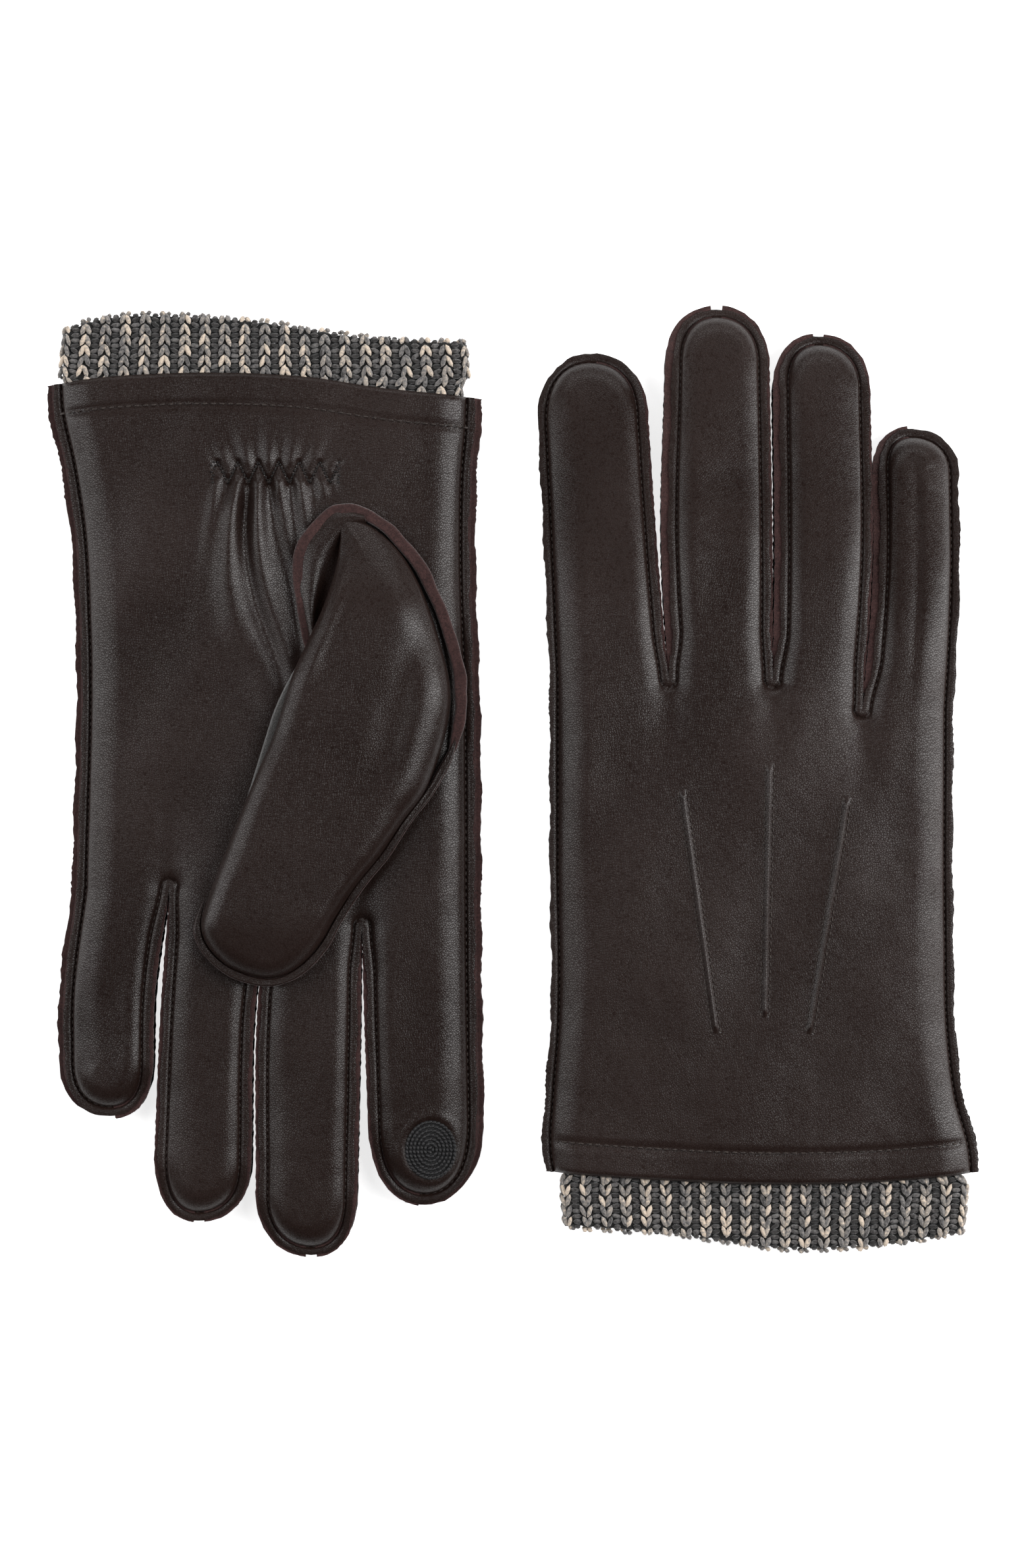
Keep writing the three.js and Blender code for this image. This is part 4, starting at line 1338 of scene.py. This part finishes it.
def bar_path(side, x):
    """A short bar of stitches along Y, a little wavy, at one end of the zigzag."""
    y = np.linspace(ELASTIC_Y - BAR_REACH, ELASTIC_Y + BAR_REACH, 60)
    return on_sheet(side, -1, np.stack([x + 0.35 * np.sin(y * 3.0), y], -1), 0.15)


for side in SIDES:
    bars = [bar_path(side, x) for x in (ZIGZAG["low"] + 0.6, ZIGZAG["high"] - 0.6)]
    name = f"{side}_elastic_zigzag"
    sewn_rows(name, side, None, [zigzag_path(side), *bars], -1, pitch=1.05, radius=0.34, finish=dark_thread)

# %% [markdown]
# ## Touch patch
#
# A phone screen feels a finger only through something that conducts. Here that is an oval of rings
# of conductive thread, embroidered on the index fingertip. Every ring is a row of slanting beads, and
# under them lies a shallow dish of the same thread that closes the gaps.

# %% Touch patches
RINGS = 7
RING_PITCH = 1.15
RING_BEAD = {"length": 1.55, "radius": 0.47, "lift": 0.32, "slant": 0.04}
DISH_ROWS, DISH_COLUMNS = 12, 49


def patch_point(side, rho, angle, lift):
    """A point of the patch at share rho of its half sizes: on the dimpled palm of the fingertip."""
    cx, cy = patch_centre(side)
    x = cx + rho * PATCH["across"] / 2 * np.cos(angle)
    y = cy + rho * PATCH["along"] / 2 * np.sin(angle)
    z = finger_top(side, "index", -1, x, y) - PATCH["deep"] + lift
    return np.stack([x, y, -z], -1)


def touch_dish(side):
    """The ground of thread: a disc with one low ripple to each ring."""
    rho = np.linspace(0, 0.99, DISH_ROWS)[:, None]
    angle = np.linspace(0, 2 * np.pi, DISH_COLUMNS)[None]
    dish = patch_point(side, rho, angle, 0.10 + 0.12 * np.cos(rho * 2 * np.pi * RINGS))
    faces = grid_faces(DISH_ROWS, DISH_COLUMNS, flip=side == "left")
    return mesh_object(f"{side}_touch_dish", place(side, dish, "index"), faces, [touch_thread], weld=True)


def touch_rings(side):
    """Rows of beads along the rings, each bead turned a little towards the middle."""
    middle = np.array([*patch_centre(side), 0])
    centres, ways = [], []
    for share in (np.arange(RINGS) + 0.55) / RINGS:
        ring = patch_point(side, share, np.linspace(0, 2 * np.pi, 240), RING_BEAD["lift"])
        spots, way = resample(ring, RING_PITCH)
        inward = (middle - spots) * [1, 1, 0]
        centres.append(spots)
        ways.append(unit(way) + RING_BEAD["slant"] * inward)
    centres, ways = np.concatenate(centres), np.concatenate(ways)
    up = np.zeros_like(centres)
    up[:, 2] = -1
    size = RING_BEAD["length"], RING_BEAD["radius"]
    return scatter(f"{side}_touch_rings", side, "index", centres, ways, up, *size, touch_thread)


for side in SIDES:
    belongs(touch_dish(side), side, "index", "touch_thread")
    belongs(touch_rings(side), side, "index", "touch_thread", "touch_patch")
print("touch patches embroidered")

# %% [markdown]
# ## Rib cuffs
#
# The cuff is knitted two by two: columns of knit stitches stand out as ribs, and the purl columns
# between them fall back. Seen close, a knit column is a plait of slanting legs of yarn. So a place on
# the cuff is given by three numbers - how far round it, how far along from inside the hem, and how far
# off its surface - and the yarn is beads laid out in those numbers. At the end the tube turns in on
# itself and goes back up inside, which makes its edge round and soft.

# %% The cuff's surface
RIBS = 42
RIB_START_Y = HEM_SEAM["row_y"]
RIB_HALF_HEIGHT = 3.3
FOLD_RADIUS = 1.0


def cuff_edges(side, y):
    """Middle and half width of the cuff: the hand's own edges, drawn in a little."""
    line = np.clip(y, -110, None)
    left, right = side_x(side, line, "thumb_side"), side_x(side, line, "little_side")
    hem_corner = min(OUTLINE[side]["hem"][0][1], OUTLINE[side]["hem"][-1][1])
    tucked = 2.0 * smooth((y - hem_corner + 3.5) / 3.5)
    slack = 0.10 * np.clip(-112 - y, 0, 12)
    return (left + right) / 2, (right - left) / 2 - 3.4 - slack - tucked


def round_cuff(side, share, y, out):
    """A flattened ring at Y: straight above and below, half circles at the sides, moved off by out."""
    middle, half = cuff_edges(side, y)
    run = half - RIB_HALF_HEIGHT
    total = 4 * run + 2 * np.pi * RIB_HALF_HEIGHT
    a = (share % 1.0) * total
    quarter = np.pi * RIB_HALF_HEIGHT
    first = a < 2 * run
    second = ~first & (a < 2 * run + quarter)
    third = ~first & ~second & (a < 4 * run + quarter)
    left_turn = np.pi / 2 + (a - 2 * run) / RIB_HALF_HEIGHT
    right_turn = -np.pi / 2 + (a - 4 * run - quarter) / RIB_HALF_HEIGHT
    turn = np.select([first, second, third], [np.pi / 2, left_turn, -np.pi / 2], right_turn)
    base_x = np.select([first, second, third], [run - a, -run, a - 3 * run - quarter], run)
    radius = RIB_HALF_HEIGHT + out
    return middle + base_x + radius * np.cos(turn), radius * np.sin(turn)


def cuff_length(side, share):
    """How far the outside of the cuff runs from inside the hem to where its fold begins."""
    x, _ = round_cuff(side, share, np.full(np.shape(share), -115.0), 0.0)
    return RIB_START_Y - curve(x, OUTLINE[side]["rib_end"]) - FOLD_RADIUS


def cuff_point(side, share, along, out):
    """Along runs down the outside, round the fold of radius r, and back up inside at -2r."""
    length = cuff_length(side, share)
    turn = np.clip((along - length) / FOLD_RADIUS, 0, np.pi)
    inside = np.clip(along - length - np.pi * FOLD_RADIUS, 0, None)
    y = RIB_START_Y - np.minimum(along, length) - (FOLD_RADIUS + out) * np.sin(turn) + inside
    off = -FOLD_RADIUS + (FOLD_RADIUS + out) * np.cos(turn)
    x, z = round_cuff(side, share, y, off)
    sag = 0.35 * np.sin(share * 14 + 1) * smooth((along - 12) / 10)
    return np.stack([x, y, z + sag * (np.abs(z) > 1)], -1)


# %% Beads of yarn on the cuff
ROUND_IN_MM = 236.0
TONES = {0.20: 0.14, 0.36: 0.32, 0.55: 0.28, 0.78: 0.26}


def cuff_beads(side, name, share, along, out, slope, down, length, radius, finish, seed):
    """Beads of yarn at (share, along), lying down the cuff or else round it, and leaning by a slope
    towards the other way. Each has its own tone, and they are shorter on the cuff's folded end."""
    centre = cuff_point(side, share, along, out)
    round_way = unit(cuff_point(side, share + 1e-3, along, out) - centre)
    down_way = unit(cuff_point(side, share, along + 0.05, out) - centre)
    up = np.cross(down_way, round_way)
    facing = cuff_point(side, share, along, out + 0.05) - centre
    up *= np.sign((up * facing).sum(1))[:, None]
    lie, lean = (down_way, round_way) if down else (round_way, down_way)
    way = lie + slope[:, None] * lean
    length = length * (1 - 0.45 * bell(along - cuff_length(side, share) - 1.5, 2.4))
    piece = scatter(name, side, None, centre, way, up, length, radius, finish, flat=0.85)
    chance = np.random.default_rng(seed)
    tone = chance.choice(list(TONES), len(centre), p=list(TONES.values()))
    tone = tone + chance.uniform(-0.07, 0.07, len(centre))
    size = len(piece.data.vertices) // len(centre)
    attribute = piece.data.attributes.new("yarn", "FLOAT", "POINT")
    attribute.data.foreach_set("value", np.repeat(tone, size).astype(np.float32))
    return piece


# %% Knit columns, purl columns and the tube under them
FIRST_ROW = 4.0
ROW_PITCH = 2.85
OUTSIDE_RUN = 31.0
INSIDE_RUN = 12.0
ROWS = int((OUTSIDE_RUN + np.pi * FOLD_RADIUS + INSIDE_RUN - FIRST_ROW) / ROW_PITCH)
KNIT = {"aside": 0.74, "out": 0.25, "slope": 0.42, "length": 3.7, "radius": 0.66}
PURL = {"out": -0.45, "length": 2.9, "radius": 0.60}
TUBE_RUN = 44
TUBE_ROWS = 60
TUBE_COLUMNS = RIBS * 6


def stitch_places(columns, rows):
    """Every pair of a share round the cuff and a distance along it."""
    share, along = np.meshgrid(columns, rows)
    return share.ravel(), along.ravel()


def knit_column(side, number, half, chance):
    """One leg of every knit stitch, to one side of the column's middle and slanting away from it."""
    share, along = stitch_places((np.arange(RIBS) + 0.5) / RIBS, FIRST_ROW + np.arange(ROWS) * ROW_PITCH)
    count = len(share)
    jitter = chance.normal(0, 0.10, (2, count))
    out = KNIT["out"] + chance.normal(0, 0.05, count)
    radius = KNIT["radius"] + chance.normal(0, 0.04, count)
    share = share + (half * KNIT["aside"] + jitter[0]) / ROUND_IN_MM
    slope = np.full(count, -half * KNIT["slope"])
    name = f"{side}_cuff_knit_{'a' if half < 0 else 'b'}"
    seed = 21 + number * 2 + half
    return cuff_beads(
        side, name, share, along + jitter[1], out, slope, True, KNIT["length"], radius, yarn, seed
    )


def purl_column(side, number, chance):
    """The bumps between the ribs, two for every row, lying nearly across, in darker yarn: painted shade
    between the ribs.
    """
    rows = FIRST_ROW + np.arange(ROWS * 2) * ROW_PITCH / 2
    share, along = stitch_places((np.arange(RIBS) + 1.0) / RIBS, rows)
    slope = chance.normal(0, 0.22, len(share))
    out = PURL["out"] + chance.normal(0, 0.08, len(share))
    size = PURL["length"], PURL["radius"]
    seed = 31 + number
    return cuff_beads(side, f"{side}_cuff_purl", share, along, out, slope, False, *size, purl_painted_shade_wool, seed)


def cuff_tube(side):
    """The ground under the stitches: a tube with one wave to each rib, in darker yarn: painted shade under
    the stitches.
    """
    turn = np.linspace(0, 1, TUBE_COLUMNS + 1)[:-1]
    round_it, down_it = np.meshgrid(turn, np.linspace(0, TUBE_RUN, TUBE_ROWS))
    wave = -0.75 + 0.30 * np.cos(2 * np.pi * (round_it * RIBS - 0.5))
    tube = cuff_point(side, round_it, down_it, wave)
    faces = grid_faces(TUBE_ROWS, TUBE_COLUMNS, wrap=True, flip=side == "right")
    return mesh_object(side + "_cuff_tube", place(side, tube), faces, [purl_painted_shade_wool])


for number, side in enumerate(SIDES):
    chance = np.random.default_rng(11 + number)
    belongs(knit_column(side, number, -1, chance), side, None, "rib_knit")
    belongs(knit_column(side, number, 1, chance), side, None, "rib_knit", "rib_cuff")
    belongs(purl_column(side, number, chance), side, None, "rib_knit")
    belongs(cuff_tube(side), side, None, "rib_knit")
print("cuffs knitted:", RIBS, "ribs,", ROWS, "rows")

# %% [markdown]
# ## Linings and elastic
#
# Inside the leather hangs a second, knitted glove. It shows only in the mouth of the cuff, but it is
# there: a flattened tube for the hand and a closed one for each finger and the thumb. The section is a
# superellipse, |x/a|^n + |z/b|^n = 1 with n = 2.6, and a closed tube shrinks to nothing over its end.
# The elastic lies between palm and lining: a flat band with the fine cross ridges of its rubber cords.

# %% Lining tubes
LINING = 1.2
LINING_COLUMNS = 40
LINING_POWER = 2.6
END_SHARE = 0.14
UP_THE_HAND = np.array([0.0, 1.0])
HAND_TUBE = {"inset": 5.6, "height": 4.1}
FINGER_TUBE = {"inset": 5.4, "height": 3.9}


def lining_grid(middle, along, half, height, closed):
    """Rings of a superellipse about middle points, across the direction along, in the X-Y plane."""
    angle = np.linspace(0, 2 * np.pi, LINING_COLUMNS, endpoint=False)
    u, w = (np.sign(wave) * np.abs(wave) ** (2 / LINING_POWER) for wave in (np.cos(angle), np.sin(angle)))
    t = shares(middle)
    into_end = np.clip((t - 1 + END_SHARE) / END_SHARE, 0, 1) if closed else 0 * t
    close = np.sqrt(np.clip(1 - into_end**2, 0, 1))
    along = along / np.linalg.norm(along)
    across = np.array([along[1], -along[0]])
    knit = 1 + 0.012 * np.cos(angle * 20)[None]
    flat = middle[:, None, :2] + across * (u[None] * (half * close)[:, None] * knit)[..., None]
    z = middle[:, 2:3] + w[None] * (height * close)[:, None] * knit
    return np.concatenate([flat, z[..., None]], -1)


def lining_piece(name, side, grid, finger, node, thumb=False):
    """A knitted tube with its thickness inside."""
    rows, cols = grid.shape[:2]
    faces = grid_faces(rows, cols, wrap=True, flip=side == "right")
    piece = mesh_object(name, place(side, grid, finger), faces, [lining_yarn], weld=True)
    wall = piece.modifiers.new("thickness", "SOLIDIFY")
    wall.thickness, wall.offset = LINING / 1000, -1
    if thumb:
        return with_thumb(piece, side, "lining_knit", node)
    return belongs(piece, side, finger, "lining_knit", node)


def straight_lining(y, left, right, closed, inset, height):
    """A tube up the hand between two edges, an inset inside them, about the glove's middle plane."""
    middle = np.stack([(left + right) / 2, y, 0 * y], -1)
    return lining_grid(middle, UP_THE_HAND, (right - left) / 2 - inset, height, closed)


def thumb_lining():
    """A closed tube over the palm along the thumb's middle line, widening from its base."""
    t = np.linspace(0, 1, 50)
    low, high = THUMB_BASE + np.array([0.0, 4.0]), THUMB_END + np.array([1.0, 3.0])
    middle = over_palm(mix(low, high, t[:, None]), np.full(len(t), 4.8))
    half, height = 6.5 + 7.5 * smooth(t / 0.45), 2.2 + 1.4 * smooth(t / 0.3)
    return lining_grid(middle, high - low, half, height, True)


for side in SIDES:
    y = np.linspace(-97, 26, 60)
    left, right = side_x(side, y, "thumb_side"), side_x(side, y, "little_side")
    grid = straight_lining(y, left, right, False, **HAND_TUBE)
    lining_piece(side + "_hand_knit", side, grid, None, "hand_lining")
    for finger in FINGERS:
        root = max(point[1] for point in root_points(side, finger))
        y = np.linspace(root + 2, OUTLINE[side][finger]["tip"][1] - 6.5, 50)
        left, right = (finger_edge(side, finger, y, which, 0.0) for which in (0, 1))
        grid = straight_lining(y, left, right, True, **FINGER_TUBE)
        lining_piece(f"{side}_{finger}_knit", side, grid, finger, f"{finger}_lining")
    lining_piece(side + "_thumb_knit", side, thumb_lining(), None, "thumb_lining", thumb=True)

# %% Wrist elastic
BAND_ROWS, BAND_COLUMNS = 121, 24


def elastic_grid(size):
    """A band along X with square-cornered section: |cos|^0.3 wide, |sin|^0.5 thick, ridged crosswise."""
    t = np.linspace(-1, 1, BAND_ROWS)[:, None]
    turn = np.linspace(0, 2 * np.pi, BAND_COLUMNS, endpoint=False)
    end = np.sqrt(np.clip(1 - np.abs(t) ** 40, 0, 1))
    ridges = 1 + 0.16 * np.cos(t * 90) * np.abs(np.sin(turn))
    x = np.repeat(t, BAND_COLUMNS, 1)
    y = end * np.sign(np.cos(turn)) * np.abs(np.cos(turn)) ** 0.3
    z = end * np.sign(np.sin(turn)) * np.abs(np.sin(turn)) ** 0.5 * ridges
    return np.stack([x, y, z], -1) * size / 2


for side in SIDES:
    low, high = box_mm(side + "_wrist_elastic")
    points = ((low + high) / 2 + elastic_grid(high - low)) / 1000
    faces = grid_faces(BAND_ROWS, BAND_COLUMNS, wrap=True)
    band = mesh_object(side + "_elastic_band", points, faces, [thread], weld=True)
    belongs(band, side, None, "elastic", "wrist_elastic")
print("linings and elastic made")

# %% [markdown]
# ## Stage, camera and light
#
# The pair lies on a plain white floor under a camera that looks straight down from far enough away to
# see almost without perspective. Two long softboxes, one on each side and rather low, draw the bright
# lines where the leather rolls over; a third above the fingertips models the folds; and a weak white
# surround fills the shadows.

# %% Stage
FLOOR_REACH = 15
FLOOR_GLOW = 0.75
WHITE = (1, 1, 1, 1)
corners = FLOOR_REACH * np.array([[-1, -1, 0], [1, -1, 0], [1, 1, 0], [-1, 1, 0]])
glow = {"Emission_Color": WHITE, "Emission_Strength": FLOOR_GLOW}
paper = {"Base_Color": (0.9, 0.9, 0.9, 1), "Specular_IOR_Level": 0.1}
floor_material, _, _ = new_material("pale_floor", 0.9, **paper, **glow)
floor = mesh_object("floor", corners, np.array([[0, 1, 2, 3]]), [floor_material])
floor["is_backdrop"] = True

# %% Camera
# FIELD is how many metres the sensor's width takes in at the height of the pair's top.
FIELD = 0.4301
LENS = 100.0
SENSOR = 36.0
OVER_PAIR = (-0.00075, -0.00023)
TOP_OF_PAIR = 0.012
camera_data = bpy.data.cameras.new("camera")
camera_data.lens = LENS
camera_data.sensor_width = SENSOR
camera = bpy.data.objects.new("camera", camera_data)
bpy.context.scene.collection.objects.link(camera)
camera.location = (*OVER_PAIR, FIELD * LENS / SENSOR + TOP_OF_PAIR)
bpy.context.scene.camera = camera


# %% Lights
SURROUND = 0.08


def softbox(name, location, size, power):
    """A rectangular lamp whose back is turned away from the middle of the scene."""
    data = bpy.data.lights.new(name, "AREA")
    data.shape = "RECTANGLE"
    data.size, data.size_y = size
    data.energy = power
    lamp = bpy.data.objects.new(name, data)
    bpy.context.scene.collection.objects.link(lamp)
    lamp.location = location
    lamp.rotation_mode = "QUATERNION"
    lamp.rotation_quaternion = Vector(location).to_track_quat("Z", "Y")
    return lamp


softbox("left_softbox", (-1.05, 0.15, 0.52), (0.50, 2.4), 14)
softbox("right_softbox", (1.05, 0.15, 0.52), (0.50, 2.4), 29)
softbox("top_softbox", (0.0, 1.2, 0.7), (1.6, 0.5), 6)
world = bpy.data.worlds.new("studio")
bpy.context.scene.world = world
world.use_nodes = True
background = world.node_tree.nodes["Background"]
background.inputs["Color"].default_value = WHITE
background.inputs["Strength"].default_value = SURROUND
bpy.context.scene.view_settings.view_transform = "Standard"

# %% [markdown]
# ## Size
#
# The visual model has to stay the size of the frame. Its box is printed.

# %% Size of the finished model
low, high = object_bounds()
print("visual box in mm:", [round((b - a) * 1000, 1) for a, b in zip(low, high)])
